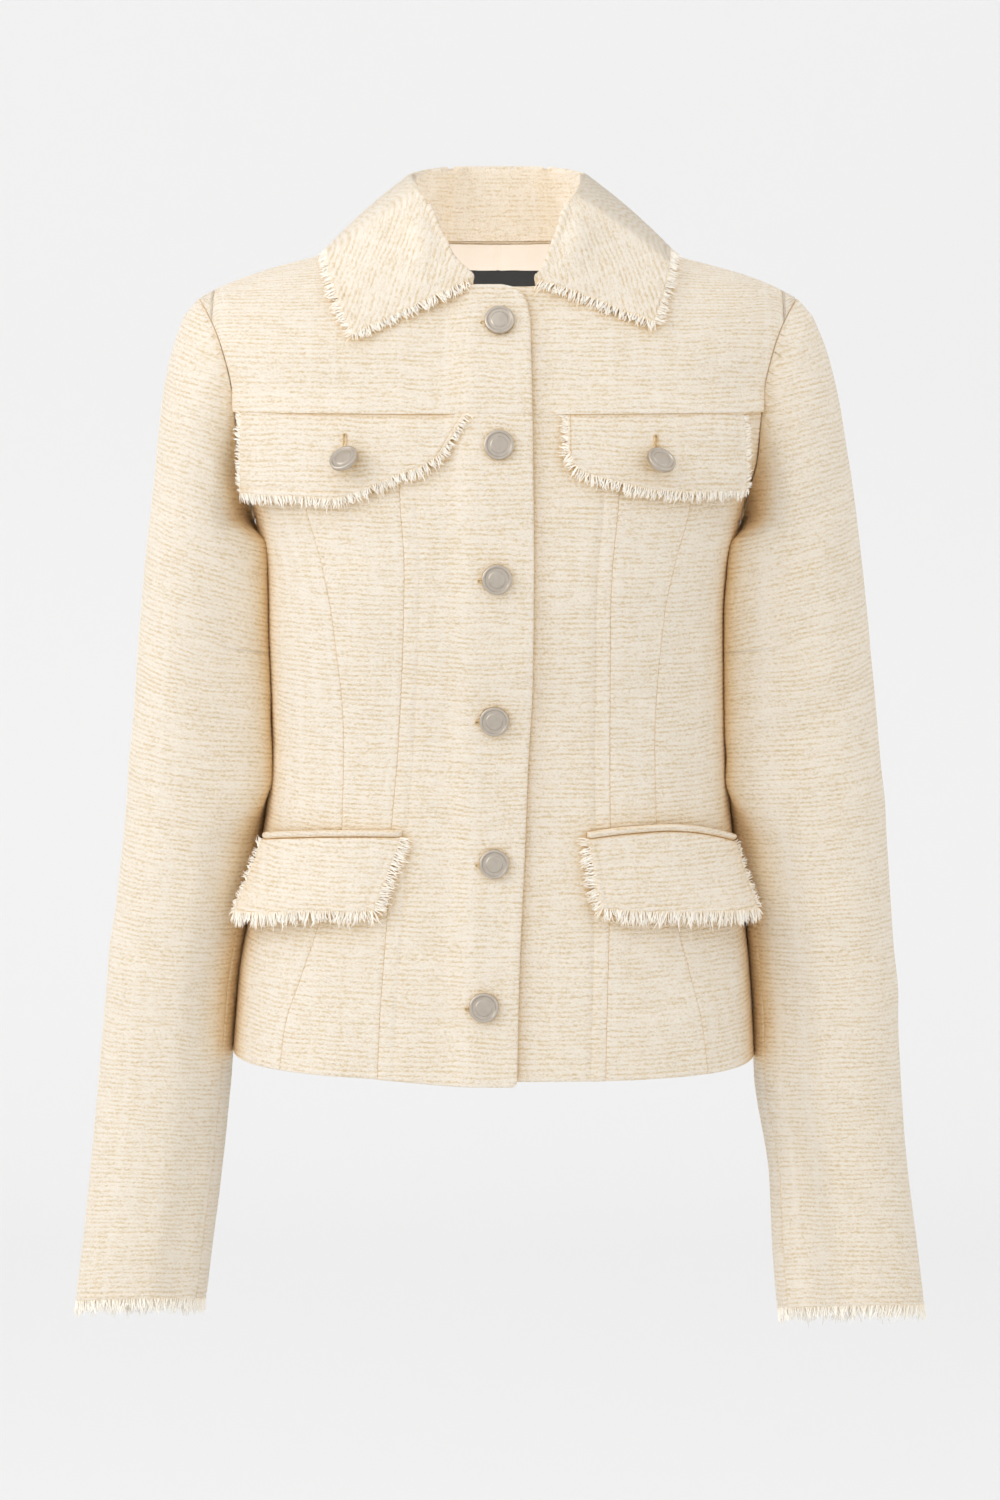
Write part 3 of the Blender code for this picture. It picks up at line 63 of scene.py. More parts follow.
def feed(tree, socket, value):
    """Links a socket to another node's output, or sets it to a number or a hex colour."""
    if isinstance(value, bpy.types.NodeSocket):
        tree.links.new(value, socket)
    else:
        socket.default_value = linear(value) if isinstance(value, str) else value


def node(tree, kind, *inputs, out=0, **settings):
    """Adds a node and returns one of its outputs. A setting is the node's own or one of its
    sockets by name, and inputs feed its sockets in their order."""
    made = tree.nodes.new("ShaderNode" + kind)
    for name, value in settings.items():
        if hasattr(made, name):
            setattr(made, name, value)
        else:
            feed(tree, made.inputs[name.replace("_", " ")], value)
    for socket, value in zip(made.inputs, inputs):
        feed(tree, socket, value)
    return made.outputs[out]


def blend(tree, share, low, high, **settings):
    """A colour between two, each a hex colour or another node's output."""
    mixed = node(tree, "Mix", out=2, data_type="RGBA", Factor=share, **settings)
    for socket, colour in zip(mixed.node.inputs[6:8], (low, high)):
        feed(tree, socket, colour)
    return mixed


def calculate(tree, operation, *values):
    return node(tree, "Math", *values, operation=operation)


def noise(tree, place, scale, detail, roughness=0.5):
    return node(tree, "TexNoise", Vector=place, Scale=scale, Detail=detail, Roughness=roughness)


def bumps(tree, height, strength, distance):
    return node(tree, "Bump", Height=height, Strength=strength, Distance=distance)


def own_place(tree):
    return node(tree, "TexCoord", out="Object")


def cloth_mm(tree):
    """Place on a piece of cloth laid flat, in millimetres."""
    return node(tree, "Mapping", Vector=node(tree, "UVMap", uv_map="cloth"), Scale=(1000, 1000, 1000))


def finish_material(name, look, *details):
    """A material. look takes its node tree and gives the sockets of its Principled shader."""
    material = bpy.data.materials.new(name)
    material.use_nodes = True
    tree = material.node_tree
    for socket, value in look(tree, *details).items():
        feed(tree, tree.nodes["Principled BSDF"].inputs[socket.replace("_", " ")], value)
    return material


def paper_look(tree):
    """Matt paper backdrop: it shows no gloss, only a very slight unevenness."""
    colour = blend(tree, noise(tree, own_place(tree), 0.6, 1.0), "#ECECEC", "#EEEEEE")
    return dict(Base_Color=colour, Roughness=1.0, Specular_IOR_Level=0.0)


def mode(name):
    bpy.ops.object.mode_set(mode=name)


def placed(name, data, spot=(0.0, 0.0, 0.0), target=None):
    """A new object in the scene, looking from its spot at a target if it has one."""
    thing = bpy.data.objects.new(name, data)
    bpy.context.collection.objects.link(thing)
    thing.location = spot
    if target:
        thing.rotation_euler = (Vector(target) - Vector(spot)).to_track_quat("-Z", "Y").to_euler()
    return thing


camera = bpy.data.cameras.new("camera")
camera.lens, camera.sensor_width = CAMERA_LENS, CAMERA_SENSOR
bpy.context.scene.camera = placed("camera", camera, CAMERA_PLACE, CAMERA_AIM)

bpy.ops.object.select_all(action="DESELECT")
bpy.ops.mesh.primitive_plane_add(size=FLOOR_SIZE, location=(0.0, WALL_Y - FLOOR_SIZE / 2, FLOOR_Z))
floor = bpy.context.object
floor.name = "floor"
mode("EDIT")
bpy.ops.mesh.select_all(action="DESELECT")
mode("OBJECT")
for edge in floor.data.edges:
    edge.select = all(floor.data.vertices[k].co.y > 0 for k in edge.vertices)
mode("EDIT")
bpy.ops.mesh.select_mode(type="EDGE")
turns = radians(90) * (np.arange(SWEEP_STEPS) + 0.5) / SWEEP_STEPS
stride = SWEEP_RADIUS * radians(90) / SWEEP_STEPS
for away, up in [(stride * np.cos(turn), stride * np.sin(turn)) for turn in turns] + [(0.0, WALL_HEIGHT)]:
    bpy.ops.mesh.extrude_region_move(TRANSFORM_OT_translate={"value": (0.0, away, up)})
mode("OBJECT")
bpy.ops.object.shade_smooth()
bpy.ops.object.transform_apply(location=True, rotation=True, scale=True)
floor.data.materials.append(finish_material("matt_paper_backdrop", paper_look))

for name, spot, size, power, target in (
    ("side_light", (-3.4, -1.5, 1.2), 2.0, 34.0, CHEST),
    ("key_light", (-2.4, -2.6, 2.0), 2.2, 14.0, CHEST),
    ("top_light", (-1.0, -2.0, 3.6), 2.0, 6.0, CHEST),
    ("fill_light", (2.8, -2.2, 0.6), 2.6, 6.0, CHEST),
    ("neck_light", (0.0, -0.02, -0.06), 0.12, 0.16, NECK_BACK),
):
    light = bpy.data.lights.new(name, "AREA")
    light.size, light.energy = size, power
    placed(name, light, spot, target)

world = bpy.data.worlds.new("studio")
bpy.context.scene.world = world
world.use_nodes = True
background = world.node_tree.nodes["Background"]
background.inputs["Color"].default_value = linear("#FFFFFF")
background.inputs["Strength"].default_value = 1.0
bpy.context.scene.view_settings.view_transform = "Standard"

# ---------------------------------------------------------------- body panels
# Nine panels of cream boucle tweed below the chest seam, sewn edge to edge: three on each side
# of the front, two at the sides of the back and one in its middle. The seam allowances are
# pressed inside, so each panel rolls in a little at its edges.

CLOTH_WALL = 0.0025
EDGE_WALL = 0.0035  # the lapping front edge is turned back on itself
SEAM_GAP = 0.0003
HALF_GAP = 0.00004  # panels are sewn edge to edge
SHOULDER_TIP_Z, PIT_Z, HEM_Z = 0.0, -0.139, -0.485
CHEST_SEAM_Z = (SHOULDER_TIP_Z + PIT_Z) / 2
NECK_SIDE_X, NECK_SIDE_Z = 0.0655, 0.040
ROUNDING = 0.060  # height over which front and back turn over the shoulder
SECTION_POWER = 2.5
LAP_LIFT = EDGE_WALL + 0.0010
LAP_START_X, LAP_FULL_X, LAP_END_X = -0.034, -0.0145, 0.0205
UNDERLAP_X = -0.0125
LAP_CORNER = 0.005
FRONT, BACK = -1, 1
RIGHT, LEFT = -1, 1
SIDE_NAMES = {RIGHT: "right", LEFT: "left"}


def table(names, text, counted=False):
    """Columns of numbers given in thousandths, read along the first one, which runs upwards.
    The rows of a counted table are numbered from 0 instead."""
    names = names.split()
    rows = np.array(text.split(), float).reshape(-1, len(names) - counted) / 1000
    if counted:
        rows = np.column_stack((np.arange(len(rows)), rows))
    return dict(zip(names, rows.T))


TORSO = table("height half_right half_left front back", """
    -500 172.2 165.5 114 120
    -480 171.1 164.6 113.5 119
    -428 166.2 161.7 110.5 114
    -392 159.5 158.2 108 109
    -345 151.4 150.8 104.5 101
    -320 148 148.7 103.5 97
    -285 145.9 147.2 103.5 94
    -256 146.3 146.4 106.5 96
    -198 147.8 145.3 116.5 104
    -170 148.6 147.1 118.5 107
    -139 154 154 117.5 109
    -120 159.5 159 116 109
    -100 169.5 169.5 113 108
    -75 178 178 108.5 106
    -50 184 184 102 103
    -20 192 192 91.5 97.5
    0 194.5 194.5 82 92
    30 198 198 72 86
    60 200 200 62 80
""")
SHOULDER_LINE = table("out height", """
    0 115
    40 85
    65.5 40
    109 27
    151 16
    170 9
    188.5 0
""")
ARMHOLE = table("height out", """
    -139 154
    -129.7 155.3
    -118.7 157.5
    -100 161.2
    -77 162.8
    -56 165
    -32 171.2
    -17 177.5
    -7 183.5
    0 188.5
""")
INNER_SEAM = table("height right left", """
    -485 75 66.8
    -441 73.1 67.8
    -385 69 69.1
    -330 66.1 69.7
    -276 61.7 69.2
    -192 57.6 69
    -163 57.1 70
    -123 59.5 73.8
    -69 62.5 76
""")
OUTER_SEAM = table("height right left", """
    -485 138 132
    -452 133.3 128
    -420 123 120.5
    -390 112.8 112.8
    -330 97 99
    -270 95.6 97.6
    -194 102.5 102.5
    -163 108.6 108.6
    -125 118.4 118.4
    -69 124 124
""")
BACK_SEAM = table("height right left", """
    -485 88 88
    -380 73 73
    -270 64 64
    -180 72 72
    -69 96 96
""")
HEM_RISE = table("out right left", """
    0 1 4
    30 1 3.7
    60 3 3.3
    90 4.5 3
    170 4.5 1.5
""")
FRONT_EDGE = table("height across", """
    -485 11.7
    -406 13.6
    -344 16.4
    -286 18.5
    -231 21.2
    -157 21.8
    -69 21
    -11.5 19.8
""")


def read(rows, name, at):
    """One column of a table, on a smooth curve through its rows that never overshoots them."""
    places, values = rows[next(iter(rows))], rows[name]
    at = np.clip(at, places[0], places[-1])
    i = np.clip(np.searchsorted(places, at, side="right") - 1, 0, len(places) - 2)
    steps = np.diff(places)
    slopes = np.diff(values) / steps
    before, after = slopes[:-1], slopes[1:]
    both = before * after
    inner = np.where(both > 0, 2 * both / np.where(both > 0, before + after, 1.0), 0.0)
    ends = np.concatenate((slopes[:1], inner, slopes[-1:]))
    t = (at - places[i]) / steps[i]
    return (
        values[i] * (1 + 2 * t) * (1 - t) ** 2
        + values[i + 1] * t * t * (3 - 2 * t)
        + steps[i] * (ends[i] * t * (1 - t) ** 2 - ends[i + 1] * t * t * (1 - t))
    )


def ramp(low, high, value):
    """0 below low, 1 above high and a smooth rise between them."""
    t = np.clip((value - low) / (high - low), 0.0, 1.0)
    return t * t * (3 - 2 * t)


def mix(a, b, t):
    return a + (b - a) * t


def unit(ways):
    return ways / np.linalg.norm(ways, axis=-1, keepdims=True)


def run_of(points):
    """Distances along lines of points from their first ones."""
    steps = np.linalg.norm(np.diff(points, axis=-2), axis=-1)
    return np.concatenate((np.zeros(steps.shape[:-1] + (1,)), np.cumsum(steps, axis=-1)), axis=-1)


def half_width(x, z):
    return np.where(x > 0, read(TORSO, "half_left", z), read(TORSO, "half_right", z))


def torso_depth(y, z):
    return np.where(y < 0, read(TORSO, "front", z), read(TORSO, "back", z))


def rounded(ratio):
    """How much of its full depth or width the body's rounded section has left."""
    return (1 - ratio**SECTION_POWER) ** (1 / SECTION_POWER)


def shoulder_height(x):
    return read(SHOULDER_LINE, "height", abs(x))


def armhole_x(z):
    return read(ARMHOLE, "out", z)


def skin_y(x, z, face, widen=0.0):
    """Depth of the front or back where it is seen at x and z."""
    section = torso_depth(face, z) * rounded(np.minimum(abs(x) / (half_width(x, z) + widen), 0.99999))
    drop = np.clip((shoulder_height(x) - z) / ROUNDING, 0.0, 1.0)
    return face * np.maximum(section * np.sqrt(1 - (1 - drop) ** 2), HALF_GAP)


def ring_point(bearing, z):
    """A point of the closed section at z, in the direction bearing from its middle."""
    x, y = np.cos(bearing), np.sin(bearing)
    reach = (abs(x) / half_width(x, z)) ** SECTION_POWER + (abs(y) / torso_depth(y, z)) ** SECTION_POWER
    reach = reach ** (-1 / SECTION_POWER)
    return np.stack((x * reach, y * reach, z + 0 * x), axis=-1)


def bearing_of(x, z, face):
    return np.arctan2(skin_y(x, z, face), x)


def chance(i, j, seed):
    """An even spread of numbers from 0 to 1, one for each whole i and j."""
    wild = np.sin(i * 127.1 + j * 311.7 + seed * 74.7) * 43758.5453
    return wild - np.floor(wild)


def drift(a, b, seed):
    """A smooth wandering value from 0 to 1 that changes over about one unit of a and b."""
    i, j = np.floor(a), np.floor(b)
    s, t = ramp(0.0, 1.0, a - i), ramp(0.0, 1.0, b - j)
    low = mix(chance(i, j, seed), chance(i + 1, j, seed), s)
    high = mix(chance(i, j + 1, seed), chance(i + 1, j + 1, seed), s)
    return mix(low, high, t)


RIB_PITCH = 0.0030  # from one thick weft yarn to the next
RIB_RELIEF = 0.00042
LEVEL = RIB_PITCH / 4  # each rib has four rows of points
STRIPE_PITCH = 0.0142  # between the warp yarns that bind the ribs in fine upright lines
COLUMN = 0.0044


def slub(u, v):
    """Height of the weave, 0 in a groove and 1 on a thick soft part of a yarn."""
    line = v / RIB_PITCH + 0.85 * drift(u / 0.026, v / 0.015, 1) + 0.30 * drift(u / 0.0075, v / 0.006, 2)
    number, between = np.floor(line + 0.5), np.floor(line)
    rib = 0.5 + 0.5 * np.cos(2 * np.pi * line)
    thick = drift(u / 0.0062 + chance(number, 0, 3) * 9.0, number * 1.7, 4)
    # a groove is open here and there, and elsewhere the soft yarns close over it
    shut = ramp(0.35, 0.95, drift(u / 0.0130 + chance(between, 0, 7) * 9.0, between * 1.7, 8))
    rib = mix(rib, 0.75, 0.60 * shut)
    stripe = u / STRIPE_PITCH + 0.12 * drift(u / 0.050, v / 0.070, 5)
    stripe = np.cos(2 * np.pi * stripe) * 0.5 + 0.5
    bound = stripe**9 * (0.25 + 0.75 * drift(u / 0.004, v / 0.026, 6))
    return np.clip(rib**0.80 * (0.52 + 0.50 * thick) + 0.30 * bound * (1 - 0.5 * rib), 0.0, 1.0)


ROLL_REACH, RAW_REACH = 0.0022, 0.0020


def roll(distance, depth, reach=ROLL_REACH):
    """How far the cloth sinks where it turns in over its last bit before an edge."""
    t = np.clip(1 - distance / reach, 0.0, 1.0)
    return depth * (1 - np.sqrt(1 - t * t))


def trough(distance, at, depth, half):
    """A sewn line sunk into the cloth at a distance from an edge."""
    t = np.clip(1 - ((distance - at) / half) ** 2, 0.0, 1.0)
    return depth * t * t


def tweed_look(tree):
    """Boucle tweed of wool and cotton in undyed cream: thick looped weft yarns lie side by side
    as soft ribs, matt and slightly furry, their grooves darkened by painted shade and their high loops lit by painted
    light."""
    mm = cloth_mm(tree)
    streak = noise(tree, node(tree, "Mapping", Vector=mm, Scale=(0.28, 0.70, 1.0)), 1.0, 3.0, 0.6)
    flat = node(tree, "Mapping", Vector=mm, Scale=(0.55, 0.95, 1.0))
    loops = node(tree, "TexVoronoi", Vector=flat, Scale=1.0, Randomness=1.0)
    fuzz = noise(tree, mm, 0.85, 4.0, 0.65)
    # height of the yarn: fine streaks along it, curled loops of about 1 mm, and the ribs
    parts = [calculate(tree, "MULTIPLY", value, share) for value, share in (
        (streak, 0.75), (fuzz, 0.95), (loops, -0.50), (node(tree, "Attribute", attribute_name="rib", out="Fac"), 0.66))]
    curl = calculate(tree, "ADD", parts[2], calculate(tree, "ADD", *parts[:2]))
    height = calculate(tree, "ADD", parts[3], curl)
    # painted shade and light: by the weave's height, the colour runs from a darker warm tan in the grooves to a lighter
    # cream on the highest loops
    painted_groove_shade = node(tree, "MapRange", Value=height, From_Min=0.38, From_Max=1.02, interpolation_type="SMOOTHSTEP")
    light = node(tree, "MapRange", Value=height, From_Min=0.70, From_Max=1.25)
    colour = blend(tree, light, blend(tree, painted_groove_shade, "#DFC9A3", "#F0E3CF"), "#F7EDDF")
    shade = node(tree, "MapRange", Value=noise(tree, mm, 0.035, 2.0), To_Min=0.965, To_Max=1.02)
    tone = node(tree, "HueSaturation", Color=colour, Value=shade)
    # painted shade: in folds and under edges, where the ambient occlusion node finds them, the colour is multiplied by
    # a warm tan, for light that is passed from yarn to yarn there and turns warm
    close = node(tree, "AmbientOcclusion", out="AO", samples=4, Distance=0.028)
    painted_fold_shade = node(tree, "MapRange", Value=close, From_Min=0.90, From_Max=0.35)
    return dict(
        Base_Color=blend(tree, painted_fold_shade, tone, "#FFE9BF", blend_type="MULTIPLY"), Normal=bumps(tree, curl, 0.9, 0.0011),
        Roughness=0.95, Specular_IOR_Level=0.25, Sheen_Weight=0.18, Sheen_Roughness=0.6,
    )


TWEED = finish_material("cream_boucle_tweed", tweed_look)


def lattice(tops, bottoms, step):
    """Columns of points: each starts at its own top, has one on every level that all columns
    share, and ends at its own bottom. Returns each point's column and v, the faces between
    neighbouring columns, and for each column the numbers of its points."""
    column_of, v_of, chains, levels, used = [], [], [], [], 0
    for i, (top, bottom) in enumerate(zip(tops, bottoms)):
        first = int(np.floor(top / step + 0.3)) + 1
        last = int(np.ceil(bottom / step - 0.3)) - 1
        level = np.arange(first, last + 1) * step
        heights = np.concatenate(([top], level, [bottom])) if bottom - top > 1e-6 else np.array([top])
        column_of.append(np.full(len(heights), i))
        v_of.append(heights)
        chains.append(used + np.arange(len(heights)))
        levels.append((first, last))
        used += len(heights)
    quads, odd = [np.zeros((0, 4), int)], []
    for a, b, (first_a, last_a), (first_b, last_b) in zip(chains, chains[1:], levels, levels[1:]):
        low, n = max(first_a, first_b), min(last_a, last_b) - max(first_a, first_b)
        if n >= 0 and len(a) > 2 and len(b) > 2:
            ka, kb = low - first_a + 1, low - first_b + 1
            qa, qb = a[ka : ka + n + 1], b[kb : kb + n + 1]
            quads.append(np.stack((qa[:-1], qa[1:], qb[1:], qb[:-1]), axis=1))
            odd.append(list(a[: ka + 1]) + list(b[: kb + 1][::-1]))
            odd.append(list(a[ka + n :]) + list(b[kb + n :][::-1]))
        else:
            odd.append(list(a) + list(b[::-1]))
    return np.concatenate(column_of), np.concatenate(v_of), np.concatenate(quads), odd, chains


def plain_mesh(name, points, quads, odd):
    """A mesh of quads and many-sided faces, and the numbers of its faces' corners."""
    mesh = bpy.data.meshes.new(name)
    sizes = np.concatenate((np.full(len(quads), 4), [len(face) for face in odd])).astype(int)
    corners = np.concatenate([quads.ravel()] + [np.array(face) for face in odd]).astype(int)
    mesh.vertices.add(len(points))
    mesh.vertices.foreach_set("co", points.astype(np.float32).ravel())
    mesh.loops.add(len(corners))
    mesh.loops.foreach_set("vertex_index", corners)
    mesh.polygons.add(len(sizes))
    mesh.polygons.foreach_set("loop_start", np.concatenate(([0], np.cumsum(sizes)[:-1])))
    return mesh, corners


def add_mesh(name, points, quads, odd, material, uv, rib=None, sharp=65):
    """An object with the cloth's UV map and the height of its ribs."""
    mesh, corners = plain_mesh(name, points, quads, odd)
    mesh.uv_layers.new(name="cloth").data.foreach_set("uv", uv[corners].astype(np.float32).ravel())
    if rib is not None:
        mesh.attributes.new("rib", "FLOAT", "POINT").data.foreach_set("value", rib.astype(np.float32))
    mesh.update(calc_edges=True)
    mesh.validate()
    mesh.shade_smooth()
    mesh.set_sharp_from_angle(angle=radians(sharp))
    mesh.materials.append(material)
    return placed(name, mesh)


def normals_of(points, quads, odd, flip):
    """Smooth normals of an open sheet of points."""
    mesh, _ = plain_mesh("measure", points, quads, odd)
    mesh.update(calc_edges=True)
    normal = np.zeros(len(points) * 3, np.float32)
    mesh.vertex_normals.foreach_get("vector", normal)
    bpy.data.meshes.remove(mesh)
    return normal.reshape(-1, 3).astype(float) * (-1 if flip else 1)


def hang(thing, replaced=None):
    """Hangs a finished piece on the frame."""
    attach(thing, "root")
    if replaced:
        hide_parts(replaced)
    return thing


INNER_STEP = 12  # the inner side has one row of points for so many on the outer side
INNER_RIB = 0.62
RIB_FADE = 0.0016  # the ribs fade out at upper and lower edges


def sew(name, tops, bottoms, place, wall=CLOTH_WALL, flip=False, step=LEVEL,
        out=0.0, material=None, rims=(0.0009, 0.0009), ribs=1.0, relief=None):
    """Makes a piece of cloth of its own thickness, and hangs it on the frame.
    place gives, for columns and v, the points, the weave's u and v, how far the outer side
    sinks, and how far the whole cloth lies off those points."""
    column, v, quads, faces, chains = lattice(tops, bottoms, step)
    points, u, weave_v, sink, base = place(column, v)
    normal = normals_of(points, quads, faces, flip)
    down, up = v - np.asarray(tops)[column], np.asarray(bottoms)[column] - v
    for distance, rim in zip((down, up), rims):
        sink = sink + roll(distance, np.broadcast_to(rim, len(tops))[column])
    rib = slub(u, weave_v)
    base = base + out + (relief(points) if relief else 0.0)
    rises = RIB_RELIEF * ribs * (rib - 0.5) * ramp(0.0, RIB_FADE, np.minimum(down, up))
    outer = points + normal * (base - sink + rises)[:, None]
    inner = points + normal * (base - (wall(points) if callable(wall) else wall))[:, None]
    # the inner side keeps each column's ends and every INNER_STEP-th shared level
    level = np.round(v / step).astype(int)
    shared = (level % INNER_STEP == 0) & (abs(v - level * step) < 1e-7)
    kept_chains = [chain[shared[chain] | (chain == chain[0]) | (chain == chain[-1])] for chain in chains]
    kept = np.concatenate(kept_chains)
    inside = np.full(len(points), -1)
    inside[kept] = len(points) + np.arange(len(kept))
    for a, b in zip(kept_chains, kept_chains[1:]):
        both = sorted(set(level[a[1:-1]]) & set(level[b[1:-1]]))
        cuts = [[0] + [int(np.where(level[c[1:-1]] == s)[0][0]) + 1 for s in both] + [len(c) - 1] for c in (a, b)]
        for a0, a1, b0, b1 in zip(cuts[0], cuts[0][1:], cuts[1], cuts[1][1:]):
            faces.append(list(inside[b[b0 : b1 + 1]]) + list(inside[a[a0 : a1 + 1]][::-1]))
    for a, b in zip(chains, chains[1:]):  # upper and lower edges
        faces.append([a[0], b[0], inside[b[0]], inside[a[0]]])
        faces.append([b[-1], a[-1], inside[a[-1]], inside[b[-1]]])
    for k, way in ((0, 1), (-1, -1)):  # first and last columns
        at = np.searchsorted(chains[k], kept_chains[k])
        for s, e in zip(at, at[1:]):
            faces.append((list(chains[k][s : e + 1][::-1]) + [inside[chains[k][s]], inside[chains[k][e]]])[::way])
    faces = [list(dict.fromkeys(face)) for face in faces]
    faces = [face[:: -1 if flip else 1] for face in faces if len(face) > 2]
    uv = np.stack((u, weave_v), axis=1)
    thing = add_mesh(
        name + "_cloth", np.concatenate((outer, inner[kept])), quads[:, ::-1] if flip else quads, faces,
        material or TWEED, np.concatenate((uv, uv[kept])), np.concatenate((rib, np.full(len(kept), INNER_RIB))),
    )
    hang(thing, name)
    return thing


EDGE_COLUMNS = (0.0, 0.0003, 0.0009, 0.0020)
SEWN_COLUMNS = EDGE_COLUMNS + (0.0050, 0.0078, 0.0086, 0.0094)
PANEL_TOP = -(CHEST_SEAM_Z - HALF_GAP)
SEAM_DEPTH = 0.00045
CHEST_SEAM_DEPTH = 0.00012  # pressed flat, the chest seam hardly shows
SEWN_HALF = 0.0011


def spread(starts, ends, width, pitch=COLUMN):
    """Where a panel's columns lie across it: close together at the edges and at sewn lines, and
    about one pitch apart between them. Returns their number, and a function from the width of a
    row to their shares of it."""
    steps = max(int(round((width - starts[-1] - ends[-1]) / pitch)), 1)
    start, middle, end = (np.array(part)[:, None] for part in (starts, np.arange(1, steps) / steps, ends[::-1]))

    def shares(width):
        even = mix(starts[-1] / width, 1 - ends[-1] / width, middle)
        return np.concatenate((start / width, even, 1 - end / width))

    return len(starts) + steps - 1 + len(ends), shares


def seam_edge(rows, side, face, shift):
    """The edge of a panel along a seam, shifted sideways by half the gap."""
    return lambda z: bearing_of(side * (read(rows, SIDE_NAMES[side], z) + shift), z, face)


def side_edge(side, face):
    """The edge of a side panel: the armhole down to the pit, then the side seam."""

    def edge(z):
        bearing = face * HALF_GAP / half_width(side, z)
        arm = bearing_of(side * (armhole_x(z) - HALF_GAP), z, face)
        arm = arm if side > 0 else face * (np.pi - abs(arm))
        arm = face * np.maximum(abs(bearing), abs(arm) - HALF_GAP / 0.110)
        bearing = np.where(z > PIT_Z, arm, bearing)
        return bearing if side > 0 else face * np.pi - bearing

    return edge


def hem_rise(x, y, side):
    """How far the hem lies above its lowest height. Towards the back's middle it is level."""
    rise = read(HEM_RISE, SIDE_NAMES[side], abs(x))
    return np.where(y < 0, rise, rise * ramp(0.05, 0.15, abs(x)))


def body_folds(points):
    """Soft hollows and swells of the worn body, a millimetre high and uneven."""
    x, y, z = points.T
    wave = 0.0010 * (drift(x / 0.055 + 3, z / 0.080, 21) - 0.5)
    return wave + 0.0005 * (drift(x / 0.020, z / 0.030, 22) - 0.5)


def body_panel(name, side, start_edge, end_edge, starts=EDGE_COLUMNS, ends=EDGE_COLUMNS, sewn=(), lift=None,
               wall=CLOTH_WALL, flip=False, end_depth=SEAM_DEPTH):
    """A panel between two edges, each a function from height to a bearing. sewn holds
    (0 or 1 for the start or end edge, distance, depth) of each line stitched beside an edge."""

    def row(v, share):
        return ring_point(mix(start_edge(-v), end_edge(-v), share), -v)

    tall = np.linspace(-HEM_Z, PANEL_TOP, 60)
    widths = run_of(np.moveaxis(row(tall, np.linspace(0.0, 1.0, 13)[:, None]), 0, 1))[:, -1]
    count, shares = spread(starts, ends, widths.mean())
    offset = chance(side + 2, count, 8)  # no two panels show the same part of the weave

    def place(column, v):
        width = np.interp(v, tall[::-1], widths[::-1])
        share = shares(width)[column, np.arange(len(v))]
        points = row(v, share)
        edges = share * width, (1 - share) * width
        sink = roll(edges[0], SEAM_DEPTH) + roll(edges[1], end_depth)
        for which, at, depth in sewn:
            sink = sink + trough(edges[which], at, depth, SEWN_HALF)
        base = lift(points[:, 0]) if lift else np.zeros(len(v))
        return points, edges[0] + offset, v + offset * 0.004, sink, base

    at_hem = row(np.full(count, -HEM_Z), shares(widths[0])[:, 0])
    bottoms = -(HEM_Z + hem_rise(at_hem[:, 0], at_hem[:, 1], side))
    sew(name, np.full(count, PANEL_TOP), bottoms, place, wall=wall, flip=flip,
        rims=(CHEST_SEAM_DEPTH, 0.0012), relief=body_folds)


def lap_lift(x):
    return LAP_LIFT * ramp(LAP_START_X, LAP_FULL_X, x)


def lap_wall(points):
    return mix(CLOTH_WALL, EDGE_WALL, ramp(LAP_START_X, LAP_FULL_X, points[:, 0]))


def lap_edge(z):
    """The free edge of the lapping front, with a rounded bottom corner."""
    rise = np.clip((z - HEM_Z) / LAP_CORNER, 0.0, 1.0)
    cut = LAP_CORNER * (1 - np.sqrt(1 - (1 - rise) ** 2))
    return bearing_of(read(FRONT_EDGE, "across", z) - cut, z, FRONT)


for side in (RIGHT, LEFT):
    word = SIDE_NAMES[side]
    body_panel("front_side_" + word, side, seam_edge(OUTER_SEAM, side, FRONT, HALF_GAP), side_edge(side, FRONT),
               SEWN_COLUMNS, sewn=[(0, 0.0072, 0.0004)] if side == LEFT else [], flip=side == RIGHT)
    body_panel("front_middle_" + word, side, seam_edge(INNER_SEAM, side, FRONT, HALF_GAP),
               seam_edge(OUTER_SEAM, side, FRONT, -HALF_GAP), SEWN_COLUMNS, flip=side == RIGHT)
    body_panel("back_side_" + word, side, seam_edge(BACK_SEAM, side, BACK, HALF_GAP), side_edge(side, BACK),
               flip=side == LEFT)
body_panel("back_centre", RIGHT, seam_edge(BACK_SEAM, RIGHT, BACK, -HALF_GAP),
           seam_edge(BACK_SEAM, LEFT, BACK, -HALF_GAP), flip=True)
body_panel("front_centre_right", RIGHT, seam_edge(INNER_SEAM, RIGHT, FRONT, -HALF_GAP), lap_edge, SEWN_COLUMNS,
           sewn=[(0, 0.0086, 0.0005)], lift=lap_lift, wall=lap_wall, end_depth=0.0014)
body_panel("front_centre_left", LEFT, lambda z: bearing_of(UNDERLAP_X, z, FRONT),
           seam_edge(INNER_SEAM, LEFT, FRONT, -HALF_GAP), ends=SEWN_COLUMNS, sewn=[(1, 0.0086, 0.0006)])


# ---------------------------------------------------------------- yokes over the shoulders
# Two front yokes and one back yoke run from the chest seam up to the shoulder seams and the
# neck. Each is one flat piece of tweed, so its ribs dip towards the sleeve as they turn over
# the shoulder. The front ones stand out a little over the tops of the chest flaps.

NECK_FRONT_Z, NECK_BACK_Z = 0.008, 0.035
NECK_FLAT_X = 0.015
LAP_TOP = table("x z", """
    3 8
    12 5.5
    17.2 -1.5
    19.5 -10.5
    19.8 -11.5
""")
LAP_TOP_X = LAP_TOP["x"][-1]
BULGE = {RIGHT: (-0.190, -0.150, -0.034, -0.018), LEFT: (0.030, 0.048, 0.150, 0.190)}
BULGE_HEIGHT = 0.018
FLAP_LIFT = CLOTH_WALL + SEAM_GAP + 0.0002
CHEST_ARMHOLE_X = float(armhole_x(CHEST_SEAM_Z))
TIP_X = float(armhole_x(SHOULDER_TIP_Z)) - HALF_GAP

